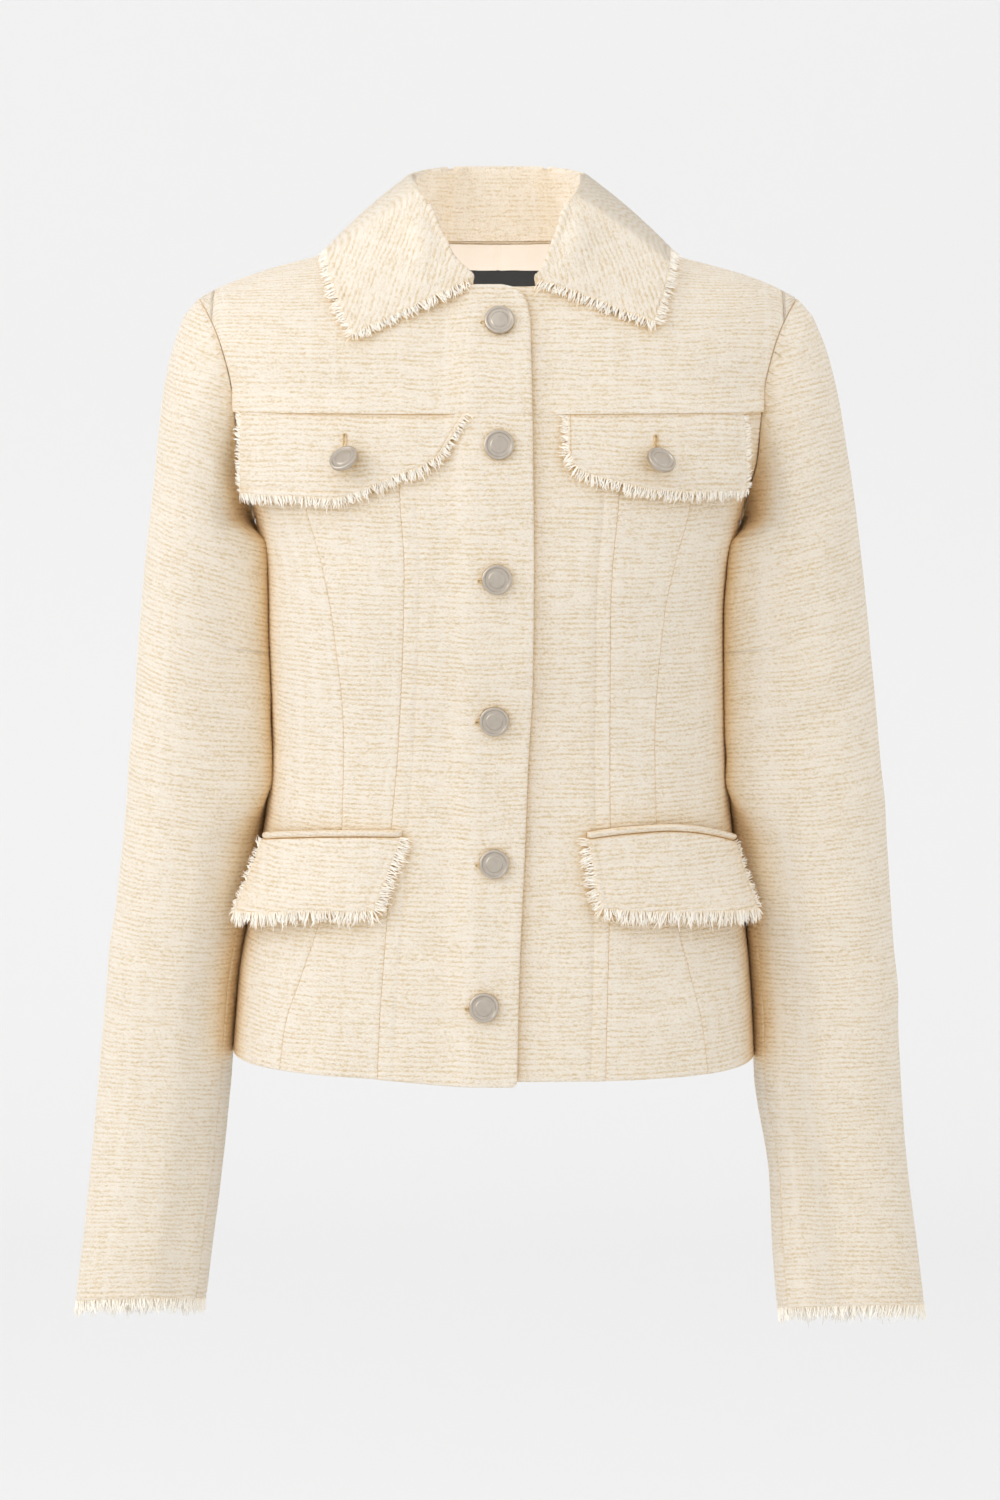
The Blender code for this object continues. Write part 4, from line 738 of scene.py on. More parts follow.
# Places of columns and the pitch that starts at each, from the right armhole to the neck, and
# from the neck to the left armhole.
ARM_TO_NECK = ((-TIP_X, 0.0010), (-0.1600, COLUMN), (-0.0700, 0.0012), (-0.0560, 0.0030))
NECK_TO_ARM = ((0.0560, 0.0012), (0.0700, COLUMN), (0.1600, 0.0010), (TIP_X, 1))


def neck_z(x, face):
    """Height of the neck edge on the front or back."""
    flat, low = (0.0, NECK_BACK_Z) if face == BACK else (NECK_FLAT_X, NECK_FRONT_Z)
    t = np.clip((abs(x) - flat) / (NECK_SIDE_X - flat), 0.0, 1.0)
    return NECK_SIDE_Z - (NECK_SIDE_Z - low) * np.sqrt(1 - t * t)


def yoke_bulge(x, z, span):
    along = ramp(span[0], span[1], x) * (1 - ramp(span[2], span[3], x))
    return FLAP_LIFT * along * (1 - ramp(CHEST_SEAM_Z, CHEST_SEAM_Z + BULGE_HEIGHT, z))


def front_edge(z):
    return read(FRONT_EDGE, "across", z)


def steps_between(*marks):
    """Columns through pairs of (place, pitch): from each place on at its own pitch."""
    xs = []
    for (a, pitch), (b, _) in zip(marks, marks[1:]):
        count = max(int(round(abs(b - a) / pitch)), 1)
        xs += [mix(a, b, k / count) for k in range(count)]
    return np.array(xs + [marks[-1][0]])


def along_columns(column, at, lines, *values):
    """Reads values at places along lines, where each point belongs to its own column's line."""
    got = np.zeros((len(values), len(at)))
    for i, line in enumerate(lines):
        mine = column == i
        for into, rows in zip(got, values):
            into[mine] = np.interp(at[mine], line, rows[i])
    return got


def yoke(name, face, xs, lift=None, laps=False, flip=False):
    """A yoke with upright columns at xs. Near the lapping front edge they bend along it."""
    neck = np.where(abs(xs) < NECK_SIDE_X, neck_z(xs, face), shoulder_height(xs))
    if laps:
        neck = np.where(xs > LAP_TOP["x"][0], read(LAP_TOP, "z", xs), neck)
    heights = np.linspace(PIT_Z, SHOULDER_TIP_Z, 400)
    arm = abs(xs) + HALF_GAP > CHEST_ARMHOLE_X
    low = np.where(arm, np.interp(abs(xs) + HALF_GAP, armhole_x(heights), heights), CHEST_SEAM_Z) + HALF_GAP
    share = np.sin(np.linspace(0.0, np.pi / 2, 160))
    z_rows = CHEST_SEAM_Z + (np.maximum(neck, low) - CHEST_SEAM_Z)[:, None] * share
    x_rows = np.repeat(xs[:, None], len(share), axis=1)
    if laps:
        x_rows = x_rows + (front_edge(z_rows) - LAP_TOP_X) * ramp(-0.010, LAP_TOP_X, x_rows)
    length = run_of(np.stack((skin_y(x_rows, z_rows, face), z_rows), axis=-1))
    v_rows = -CHEST_SEAM_Z - length
    tops = v_rows[:, -1]
    bottoms = np.maximum([np.interp(z, row, v) for z, row, v in zip(low, z_rows, v_rows)], tops)

    def place(column, v):
        z, x = along_columns(column, -v, -v_rows, z_rows, x_rows)
        points = np.stack((x, skin_y(x, z, face), z), axis=1)
        to_arm = (armhole_x(z) - HALF_GAP - abs(x)) * 0.94
        sink = roll(np.where(z < SHOULDER_TIP_Z, np.maximum(to_arm, 0.0), 1.0), SEAM_DEPTH)
        if laps:
            sink = sink + roll(np.maximum(front_edge(z) - x, 0.0), 0.0014)
        base = lift(x, z) if lift else np.zeros(len(v))
        return points, x + 0.3, v, sink, base

    sew(name, tops, bottoms, place, wall=lap_wall if laps else CLOTH_WALL,
        flip=flip, rims=(0.0010, np.where(arm, 0.0, CHEST_SEAM_DEPTH)), relief=body_folds)


at_lap = (0.0020, 0.0020), (0.0150, 0.0011), (LAP_TOP_X - 0.0020, 0.0008), (LAP_TOP_X, 1)
yoke("front_yoke_right", FRONT, steps_between(*ARM_TO_NECK, *at_lap), laps=True,
     lift=lambda x, z: lap_lift(x) + yoke_bulge(x, z, BULGE[RIGHT]))
yoke("front_yoke_left", FRONT, steps_between((UNDERLAP_X, 0.0030), *NECK_TO_ARM),
     lift=lambda x, z: yoke_bulge(x, z, BULGE[LEFT]))
yoke("back_yoke", BACK, steps_between(*ARM_TO_NECK, *NECK_TO_ARM), flip=True)


# ---------------------------------------------------------------- sleeves
# Each sleeve is two pieces of the same tweed, an upper one and a narrow under one, joined by
# two long seams and set into the armhole. The ribs run round the arm, and the cuff is left raw
# under a line of stitches. The sleeves hang with a few soft folds.

SLEEVE_COLUMNS = "ring outer_x outer_z inner_x inner_z half_depth forward own"
SLEEVE = {
    RIGHT: table(SLEEVE_COLUMNS, """
    198.8 -12 156.2 -141.5 58.5 0 300
    205.5 -31 156.8 -145 60 0 600
    211.5 -58 156 -150 61 -1 850
    215 -88 153 -158 61.5 -2 1000
    218.2 -118 150.8 -172 61.5 -3 1000
    223 -155 149.4 -193 61 -4 1000
    228 -203 148.5 -226 59 -5 1000
    233.5 -271 147.5 -284 55 -4 1000
    239 -335 152.4 -342 50 0 1000
    245.5 -393 161.8 -398 46 5 1000
    252 -448 170 -452 42 10 1000
    256.8 -500 173.8 -503 39 14 1000
    261.8 -552 177.5 -554 36 18 1000
    267.6 -606 184 -606 33.5 21 1000
    272.2 -643.5 188.4 -642.5 32 23 1000
""", counted=True),
    LEFT: table(SLEEVE_COLUMNS, """
    199.2 -12 155.8 -141.5 58.5 0 300
    207.2 -31 156.2 -145 60 0 600
    214.5 -58 155.2 -150 61 -1 850
    220 -88 152.2 -158 61.5 -2 1000
    225 -118 149.4 -172 61.5 -3 1000
    230 -155 147.4 -193 61 -4 1000
    235.5 -203 147 -226 59 -5 1000
    242.4 -271 148.4 -284 55 -4 1000
    248 -335 152 -342 50 0 1000
    252.2 -393 160.4 -398 46 5 1000
    256 -448 165.2 -452 42 10 1000
    258.8 -500 167.4 -503 39 14 1000
    262.8 -552 173.7 -554 36 18 1000
    270 -607 176.7 -608.5 33.5 21 1000
    275.2 -646.5 180.4 -648.5 32 23 1000
""", counted=True),
}
CUFF_TILT = 0.0090
ARMHOLE_HALF_DEPTH = 0.057
SLEEVE_POWER = 2.3
FOREARM_SEAM, HINDARM_SEAM = radians(150), radians(240)
SLEEVE_RADIUS = 0.045
LEVEL_RING = 6  # above this ring the ribs stay parallel to it
LEVEL_V = 0.200
LAST_RING = 14
CUFF_STITCH = (0.0042, 0.0006, 0.0014)  # distance from the edge, depth and half width

NESTLE_GAP = 0.0002  # each sleeve rests against the body, pressed to its form
# Its inner side leans in against the body under the armpit and from the waist to the hem.
SLEEVE_LEAN = {
    RIGHT: table("down lean", """
    134 0  150 2.6  172 0  290 0  320 1.9  340 1.6  380 1.7  410 1.3  460 1.9  500 1.9  560 0
"""),
    LEFT: table("down lean", """
    134 0  150 1.6  172 0  290 0  320 1.7  350 1.8  400 2.1  440 2.4  500 2.7  560 0
"""),
}
SLEEVE_FOLDS = (
    # v down the sleeve, angle, slant, half length, half width, height: troughs are below zero
    (0.110, 1.9, 0.5, 0.060, 0.012, -0.0014),
    (0.150, 2.2, 0.6, 0.050, 0.013, 0.0012),
    (0.235, 2.0, 0.4, 0.070, 0.016, -0.0016),
    (0.290, 1.2, -0.3, 0.060, 0.020, 0.0013),
    (0.345, 2.3, 0.5, 0.060, 0.015, -0.0014),
    (0.420, 0.9, 0.3, 0.080, 0.022, 0.0014),
    (0.500, 1.8, -0.2, 0.060, 0.020, -0.0010),
    (0.240, 4.4, -0.4, 0.070, 0.016, -0.0016),
    (0.330, 4.0, -0.5, 0.060, 0.018, 0.0013),
    (0.440, 4.6, 0.3, 0.070, 0.020, -0.0012),
)


def nestled(points, side, angle):
    """The points moved towards the body where the sleeve is pressed against it."""
    angle = angle % (2 * np.pi)
    x, y, z = points[..., 0], points[..., 1], points[..., 2]
    around = ramp(radians(95), radians(140), angle) * (1 - ramp(np.pi, radians(200), angle))
    down = ramp(0.136, 0.153, -z) * (1 - ramp(0.300, 0.345, -z))
    body_x = half_width(side, z) * rounded(np.minimum(abs(y) / torso_depth(y, z), 1.0)) + NESTLE_GAP
    lean = np.interp(-z, *SLEEVE_LEAN[side].values()) * (0.5 - 0.5 * np.cos(angle))
    moved = side * (mix(abs(x), np.minimum(abs(x), body_x), around * down) - lean)
    return np.stack((moved, y, z), axis=-1)


def signed_power(value, power):
    return abs(value) ** power * np.where(value >= 0, 1, -1)


def oval(rows, side, row, angle):
    """A point on a sleeve section. Angle 0 is its outer side and 90 degrees its front."""
    if rows is None:
        outer_x, outer_z = armhole_x(SHOULDER_TIP_Z), SHOULDER_TIP_Z
        inner_x, inner_z, half_depth, forward = armhole_x(PIT_Z), PIT_Z, ARMHOLE_HALF_DEPTH, 0.0
    else:
        outer_x, outer_z, inner_x, inner_z, half_depth, forward = (
            read(rows, name, row) for name in SLEEVE_COLUMNS.split()[1:-1]
        )
    across = signed_power(np.cos(angle), 2 / SLEEVE_POWER)
    ahead = signed_power(np.sin(angle), 2 / SLEEVE_POWER)
    middle_z = (outer_z + inner_z) / 2
    tilt = CUFF_TILT * ramp(-0.30, -0.64, middle_z)
    x = side * ((outer_x + inner_x) / 2 + (outer_x - inner_x) / 2 * across)
    z = middle_z + (outer_z - inner_z) / 2 * across + tilt * ahead
    return nestled(np.stack((x + 0 * z, -forward - half_depth * ahead, z), axis=-1), side, angle)


def armhole_point(side, angle):
    """The armhole's own edge, on the outer skin."""
    z = (SHOULDER_TIP_Z + PIT_Z) / 2 + (SHOULDER_TIP_Z - PIT_Z) / 2 * np.cos(angle)
    x = side * armhole_x(z)
    y = np.where(np.sin(angle) >= 0, skin_y(x, z, FRONT), skin_y(x, z, BACK))
    y = np.where((abs(np.sin(angle)) < 0.01) | (z <= PIT_Z + 1e-6), 0.0, y)
    return np.stack((x, y, z), axis=-1)


def sleeve_folds(side, v, around):
    """Height of the soft folds at v down the sleeve and a distance round it."""
    height = 0.0012 * (drift(around / 0.060 + 5 * side, v / 0.110, 31) - 0.5)
    for at, angle, slant, half_length, half_width, rise in SLEEVE_FOLDS:
        a, b = around - angle * SLEEVE_RADIUS, v - (at + 0.012 * side)
        along, off = a * np.cos(slant) + b * np.sin(slant), b * np.cos(slant) - a * np.sin(slant)
        height = height + rise * np.exp(-((along / half_length) ** 2) * 2 - (off / half_width) ** 2 * 2)
    return height


def sleeve_piece(name, side, first, last):
    rows = SLEEVE[side]
    arc = (last - first) * SLEEVE_RADIUS
    _, shares = spread(EDGE_COLUMNS, EDGE_COLUMNS, arc)
    trim = HALF_GAP / SLEEVE_RADIUS
    angles = np.clip(first + (last - first) * shares(arc)[:, 0], first + trim, last - trim)
    ring = np.linspace(0.0, LAST_RING, 561)
    edge = armhole_point(side, angles)
    stray = edge - oval(None, side, None, angles)
    own = read(rows, "own", ring)
    lines = oval(rows, side, ring[None, :], angles[:, None]) + stray[:, None, :] * (1 - own)[None, :, None]
    start = edge + unit(lines[:, 0] - edge) * SEAM_GAP
    lead = mix(start[:, None, :], lines[:, :1, :], np.linspace(0.0, 1.0, 12)[:-1][None, :, None])
    lines = np.concatenate((lead, lines), axis=1)
    ring = np.concatenate((np.zeros(11), ring))
    # v is level on every ring below LEVEL_RING, and parallel to that ring's plane above it
    middle = (oval(rows, side, ring, 0.0) + oval(rows, side, ring, np.pi)) / 2
    level = int(np.searchsorted(ring, LEVEL_RING))
    reach = oval(rows, side, LEVEL_RING, 0.0) - oval(rows, side, LEVEL_RING, np.pi)
    plane = unit(np.array((-reach[2] * side, 0.0, abs(reach[0]))))
    down = run_of(middle)
    v_lines = LEVEL_V + np.where(ring < LEVEL_RING, -((lines - middle[level]) @ plane), down - down[level])
    v_lines = np.maximum.accumulate(v_lines + np.arange(len(ring)) * 1e-7, axis=1)  # v grows evenly
    around = run_of(lines[:, len(ring) // 2]) + first * SLEEVE_RADIUS
    end_v = float(v_lines[0, -1])

    def place(column, v):
        points = along_columns(column, v, v_lines, *np.moveaxis(lines, 2, 0)).T
        left, right = (angles[column] - first) * SLEEVE_RADIUS, (last - angles[column]) * SLEEVE_RADIUS
        sink = roll(left, 0.0008) + roll(right, 0.0008) + trough(end_v - v, *CUFF_STITCH)
        base = sleeve_folds(side, v, around[column]) * ramp(0.0, 0.03, v - v_lines[column, 0])
        return points, around[column] + 0.5, v, sink, base

    return sew(name, v_lines[:, 0], np.full(len(angles), end_v), place,
               flip=side == LEFT, rims=(0.0010, 0.0010))


for side, word in SIDE_NAMES.items():
    sleeve_piece("sleeve_upper_" + word, side, HINDARM_SEAM - 2 * np.pi, FOREARM_SEAM)
    sleeve_piece("sleeve_under_" + word, side, FOREARM_SEAM, HINDARM_SEAM)


# ---------------------------------------------------------------- collar
# A one-piece shirt collar of the same tweed, cut with its ribs along it. It stands up round the
# neck, folds over and lies on the yokes. Its ends and outer edge are left raw outside a line of
# stitches.

COLLAR_COLUMNS = "turn lean_out lean_back rise right_out right_height left_out left_height swell"
COLLAR = table(COLLAR_COLUMNS, """
    0 -1.6 4.5 88 -22.5 93.7 -21 0
    -3.3 1 15.7 94.5 -10 97.3 -11 0.5
    -8.7 13 26.8 100 3.5 101 -1 1
    -12 25 34.5 103.5 14 104.5 11.5 1
    -11.2 15 35.5 105.5 21.5 106.5 20.5 1
    -9.1 3 35.5 106.2 27.8 107.2 27.5 1.5
    -7 -10 38.5 104 18 104.5 18 2.5
    -4.8 -19 42 93.5 9 93.5 9 3.5
    -3.2 -17.5 44.8 69 11 69 11 4
    -1.5 -13.5 46 36 16 36 16 4
    0 -11.5 46.5 0 18.5 0 18.5 3
""", counted=True)
SIDE_TURN, BACK_TURN = 5, 10
RIGHT_TURNS = (0, 1, 2, 3, 4, 5, 5.5, 6, 6.5, 7, 7.5, 8, 8.5, 9, BACK_TURN)
LEFT_END_TURN, LEFT_SAME_TURN = 0.5, 3  # the left end starts half a turn further from the middle
LEFT_TURNS = RIGHT_TURNS[-2:0:-1] + (LEFT_END_TURN,)
HALF_WALL = CLOTH_WALL / 2
COLLAR_CLEARANCE = HALF_WALL + 0.0018
LEAF_CLEARANCE = HALF_WALL + 0.0012
LEAF_PARTS = (0.12, 0.32, 0.52, 0.72, 0.88, 1.0)
LOW_RISE = 0.006  # under this the collar's end is too low to fold over
RAW_ROLL = (0.0010, RAW_REACH)  # depth and reach
RAW_STITCH = (0.0045, 0.0006, 0.0013)  # distance from the raw edge, depth and half width
COLLAR_STEP = 0.0013


def skin_place(x, z, face, widen=0.0, step=0.00001):
    """A point of the skin and the direction that points out of the garment there."""
    towards = np.where(x > 0, -step, step)
    y = skin_y(x, z, face, widen)
    slope_x = (skin_y(x + towards, z, face, widen) - y) / towards
    slope_z = (y - skin_y(x, z - step, face, widen)) / step
    normal = np.stack((-slope_x, np.ones_like(slope_x), -slope_z), axis=-1) * face
    return np.stack((x + 0 * y, y, z + 0 * y), axis=-1), unit(normal)


def clear_of_skin(points, clearance):
    """Moves points out until they lie at least clearance from the garment's skin. Over the
    shoulders the height above the skin counts, and on the walls the distance in front of it."""
    points = np.atleast_2d(points).astype(float)
    for _ in range(2):
        x, y, z = points.T
        for face in (FRONT, BACK):
            lap = lap_lift(x) * (x < LAP_END_X) * (face == FRONT)
            section = torso_depth(face, z) * rounded(np.minimum(abs(x) / half_width(x, z), 0.9999)) + lap
            section = np.maximum(section, 1e-6)
            across = np.minimum(abs(y) / section, 1.0)
            ridge = shoulder_height(x) - ROUNDING * (1 - np.sqrt(1 - across**2))
            slope = ROUNDING / section * across / np.sqrt(np.maximum(1 - across**2, 1e-4))
            over = (z - ridge) / np.sqrt(1 + slope**2)
            top = unit(np.stack((0 * x, face * slope, np.ones_like(x)), axis=1))
            place, normal = skin_place(x, np.minimum(z, shoulder_height(x) - 0.004), face)
            before = (face * (y - place[:, 1]) - lap) * abs(normal[:, 1])
            use_top = across < 0.75
            distance = np.where(use_top, over, before)
            way = np.where(use_top[:, None], top, normal)
            mine = (y >= 0) == (face == BACK)
            points = points + way * (np.clip(clearance - distance, 0.0, 0.02) * mine)[:, None]
    return points


def neck_place(side, turn):
    """A point of the neck edge that the yokes share, its normal, and the way into the neck."""
    if turn != int(turn):
        a, b = neck_place(side, int(turn)), neck_place(side, int(turn) + 1)
        point, normal, away = ((one + other) / 2 for one, other in zip(a, b))
        return point, unit(normal), unit(away)
    face = FRONT if turn <= SIDE_TURN else BACK
    flat = NECK_FLAT_X if face == FRONT else 0.0

    def at(angle):
        x = side * (flat + (NECK_SIDE_X - flat) * np.sin(angle))
        return skin_place(x, neck_z(x, face), face)

    angle = np.pi / 2 * (1 - abs(turn - SIDE_TURN) / SIDE_TURN)
    point, normal = at(angle)
    along = (at(angle + 0.01)[0] - at(angle - 0.01)[0]) * (side if face == FRONT else -side)
    if turn == SIDE_TURN:
        along = np.array((0.0, side, 0.0))
    lift = lap_lift(point[0]) if side == RIGHT and face == FRONT else 0.0
    return point + normal * lift, normal, unit(np.cross(normal, along))


def collar_line(side, turn):
    """The middle of the cloth from the neck seam over the fold to the collar's outer edge."""
    seam, normal, away = neck_place(side, turn)
    late = LEFT_END_TURN * (1 - ramp(LEFT_END_TURN, LEFT_SAME_TURN, turn)) if side == LEFT else 0.0
    lean_out, lean_back, rise, swell = (
        read(COLLAR, name, turn - late) for name in ("lean_out", "lean_back", "rise", "swell")
    )
    edge_out = read(COLLAR, SIDE_NAMES[side] + "_out", turn)
    edge_height = min(read(COLLAR, SIDE_NAMES[side] + "_height", turn), shoulder_height(edge_out))
    base = seam + away * (SEAM_GAP + 0.0002) - normal * HALF_WALL
    fold_way = np.array((side * lean_out, lean_back, rise))
    fold, up = base + fold_way, unit(fold_way)
    edge_point, edge_normal = skin_place(side * edge_out, edge_height, FRONT if turn <= SIDE_TURN else BACK)
    edge = clear_of_skin(edge_point + edge_normal * COLLAR_CLEARANCE, COLLAR_CLEARANCE)[0]
    out = unit(edge - fold - up * (edge - fold).dot(up))
    if rise < LOW_RISE:
        points = [base, mix(base, fold, 0.35), mix(base, fold, 0.7) - out * 0.0003]
    else:
        points = [base, mix(base, fold, 0.45) - out * 0.0004, fold - out * 0.0015 - up * 0.0022]
    start = fold + out * 0.0020 - up * 0.0018
    points += [fold + up * 0.0004, start]
    outwards = unit(edge_normal + np.array((0.0, 0.0, 0.6)))
    for part in LEAF_PARTS:
        point = mix(start, edge, part) + outwards * swell * np.sin(np.pi * part)
        points.append(clear_of_skin(point, COLLAR_CLEARANCE)[0])
    return points


def between(grid, a, b):
    """Points on a smooth sheet through a grid of points, at fractional places along it."""
    total = np.zeros(np.broadcast(a, b).shape + (3,))
    last_a, last_b = grid.shape[0] - 1, grid.shape[1] - 1
    i = np.clip(np.floor(a), 0, last_a - 1).astype(int)
    j = np.clip(np.floor(b), 0, last_b - 1).astype(int)

    def shares(t):
        inner = (2 - 5 * t**2 + 3 * t**3) / 2, (t + 4 * t**2 - 3 * t**3) / 2
        return (-t + 2 * t**2 - t**3) / 2, *inner, (t**3 - t**2) / 2

    for m, share_a in enumerate(shares(a - i)):
        for n, share_b in enumerate(shares(b - j)):
            at = grid[np.clip(i + m - 1, 0, last_a), np.clip(j + n - 1, 0, last_b)]
            total += at * (share_a * share_b)[..., None]
    return total


COLLAR_LINES = np.array(
    [collar_line(RIGHT, turn) for turn in RIGHT_TURNS] + [collar_line(LEFT, turn) for turn in LEFT_TURNS]
)
FOLD_ROW, LEAF_ROW, EDGE_ROW = 3, 5, COLLAR_LINES.shape[1] - 1
LAST_LINE = COLLAR_LINES.shape[0] - 1


def collar_cloth():
    """Evenly spaced columns across the collar, from its right front end to its left one."""
    fine = np.linspace(0.0, LAST_LINE, 1400)
    run = run_of(between(COLLAR_LINES, fine, np.full(len(fine), 7.0)))
    rims = np.array((0.0003, 0.0008))
    even = np.linspace(0.0, run[-1], int(run[-1] / COLLAR_STEP) + 1)
    at = np.unique(np.interp(np.concatenate((even, rims, run[-1] - rims)), run, fine))
    along = np.interp(at, fine, run)
    rows = np.linspace(0.0, EDGE_ROW, 331)
    length = run_of(between(COLLAR_LINES, at[:, None] + 0 * rows, rows + 0 * at[:, None]))
    turn = np.interp(at, np.arange(LAST_LINE + 1), RIGHT_TURNS + LEFT_TURNS)

    def place(column, v):
        (row,) = along_columns(column, v, length, np.broadcast_to(rows, length.shape))
        points = between(COLLAR_LINES, at[column], row)
        points = mix(points, clear_of_skin(points, LEAF_CLEARANCE), (row > LEAF_ROW)[:, None].astype(float))
        sink = np.zeros(len(v))
        for end in (0.0, float(LAST_LINE)):
            near = np.linalg.norm(points - between(COLLAR_LINES, np.full(len(v), end), row), axis=1)
            sink += roll(near, *RAW_ROLL) + trough(near, *RAW_STITCH) * ramp(FOLD_ROW, LEAF_ROW, row)
        sink += trough(length[column, -1] - v, *RAW_STITCH)
        # cut straight, the ribs run down the front of each leaf, a little outwards
        x, z = abs(points[:, 0]), points[:, 2]
        ahead = 1 - ramp(3.6, 6.2, turn[column])
        weave_v = mix(v, 0.94 * x + 0.34 * z, ahead)
        weave_u = mix(along[column], 0.34 * x - 0.94 * z, ahead)
        return points, weave_u + 0.9, weave_v, sink, np.zeros(len(v))

    return sew("collar", np.zeros(len(at)), length[:, -1], place, flip=True, step=COLLAR_STEP,
               out=HALF_WALL, rims=(0.0, 0.0010))


collar = collar_cloth()


# ---------------------------------------------------------------- inside the back of the neck
# A strip of cream lining satin is sewn inside the back yoke with a seam down its middle, and
# under it sits a plain black woven label without any lettering.

LINING_WALL = 0.0010
INSIDE = CLOTH_WALL + SEAM_GAP + 0.0006
PUCKERS = ((0.0015, 0.0120, 0.0007, 0.0028), (0.0040, 0.0100, -0.0006, 0.0022))  # x, z, height, size


def strip_look(tree, colour, dark, roughness, thread, sheen):
    """Fine woven strip: the threads are too thin to count, and give a faint grain and a sheen."""
    mm = cloth_mm(tree)
    grain = noise(tree, node(tree, "Mapping", Vector=mm, Scale=(1 / thread, 0.25 / thread, 1)), 1.0, 2.0)
    both = calculate(tree, "MULTIPLY", grain, noise(tree, mm, 0.12, 1.0))
    return dict(Base_Color=blend(tree, both, dark, colour), Normal=bumps(tree, grain, 0.25, 0.0002),
                Roughness=roughness, Sheen_Weight=sheen)


def inside_strip(name, top, material, sewn=False):
    """A strip as wide as its packed box. sewn gives it the seam in its middle, which puckers."""
    low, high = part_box(name)
    xs = np.linspace(-1.0, 1.0, 61) * high[0]
    tops = np.array([-top(x, high) for x in xs])

    def place(column, v):
        x, z = xs[column], -v
        point, normal = skin_place(x, z, BACK)
        sink = np.zeros(len(v))
        if sewn:
            sink += trough(abs(x), 0.0, 0.0007, 0.0012) + 0.0003 * np.sin(x / 0.0045) * ramp(0.002, 0.02, abs(x))
            for px, pz, height, size in PUCKERS:
                sink -= height * np.exp(-((x - px) ** 2 + 0.35 * (z - pz) ** 2) / size**2)
        return point - normal * (INSIDE + LINING_WALL), x + 0.4, v, sink, np.zeros(len(v))

    sew(name, tops, np.full(len(xs), -low[2]), place, wall=LINING_WALL,
        step=0.0008, material=material, rims=(0.0003, 0.0003), ribs=0.0)


inside_strip(
    "back_neck_lining", lambda x, high: float(neck_z(x, BACK)) - 0.0014,
    finish_material("cream_satin_lining", strip_look, "#EFE5DA", "#E4D7C8", 0.5, 0.35, 0.1), sewn=True,
)
inside_strip(
    "neck_label", lambda x, high: high[2],
    finish_material("black_woven_label", strip_look, "#2E2F30", "#1C1D1E", 0.75, 0.45, 0.25),
)


# ---------------------------------------------------------------- pocket flaps
# Two chest flaps with curved hems hang from the chest seam, and two slanting hip flaps hang
# from the hip welts. Each is one layer of tweed, raw on three sides outside a line of stitches.

FLAP_TOP_Z = CHEST_SEAM_Z - HALF_GAP
FLAP_COLUMNS = "step top_x top_z bottom_x bottom_z"
FLAPS = {
    "chest_flap_right": table(FLAP_COLUMNS, """
    -18.8 -69.54 -35 -94
    -33 -69.54 -47.9 -102
    -50 -69.54 -62 -107
    -72 -69.54 -79.4 -114.5
    -98 -69.54 -101.1 -121.1
    -120 -69.54 -119.3 -119.9
    -142 -69.54 -141 -119.6
    -158 -69.54 -157.3 -119.2
""", counted=True),
    "chest_flap_left": table(FLAP_COLUMNS, """
    42 -69.54 42.5 -93
    50 -69.54 49.3 -103.3
    66 -69.54 65.5 -108.8
    82 -69.54 82 -113
    98.5 -69.54 98.5 -116.1
    117 -69.54 117 -116.8
    135 -69.54 135 -116.8
    151 -69.54 151.8 -116.5
""", counted=True),
    "hip_flap_right": table(FLAP_COLUMNS, """
    -59.1 -330 -75.7 -375.8
    -80 -330.6 -95 -377
    -101 -331.8 -115 -378.4
    -120 -333.8 -135 -381
    -135 -336.2 -151 -383.6
    -146.2 -339 -162.4 -385.5
""", counted=True),
    "hip_flap_left": table(FLAP_COLUMNS, """
    54.9 -331 63.1 -374
    76 -328.8 79 -375.8
    99.4 -328 99 -377.6
    118 -330 121 -379.2
    134 -334.4 142 -381.2
    147.5 -340.4 159.8 -383.3
""", counted=True),
}
# How much wider than the body a flap's curve is at its top and hem, and how far it stands off.
FLAP_FORM = {"chest": (0.0025, 0.0080, FLAP_LIFT, 0.0015), "hip": (0.0045, 0.0140, FLAP_LIFT + 0.0005, 0.0025)}
FLAP_EDGES = (0.0, 0.0004, 0.0010, 0.0020, 0.0032, 0.0045, 0.0058)
PRESSED_LIFT, PRESSED_WALL = 0.0014, 0.0009  # of a chest flap where it is sewn into the chest seam


def flap_point(name, step, t):
    """A point on a flap's outer side: step counts its columns and t runs from top to hem."""
    rows = FLAPS[name]
    widen_top, widen_hem, lift, hem_lift = FLAP_FORM[name.split("_")[0]]
    x = mix(read(rows, "top_x", step), read(rows, "bottom_x", step), t)
    z = mix(read(rows, "top_z", step), read(rows, "bottom_z", step), t)
    points, normal = skin_place(x, z, FRONT, mix(widen_top, widen_hem, t), 0.00002)
    if name.startswith("chest"):
        lift = mix(PRESSED_LIFT, lift, ramp(0.0, 0.25, t))
    rise = lift + hem_lift * t * t + lap_lift(x) * (x < 0)
    return points + normal * rise[..., None], normal


def flap_wall(points):
    return mix(PRESSED_WALL, CLOTH_WALL, ramp(0.0, 0.010, FLAP_TOP_Z - points[:, 2]))


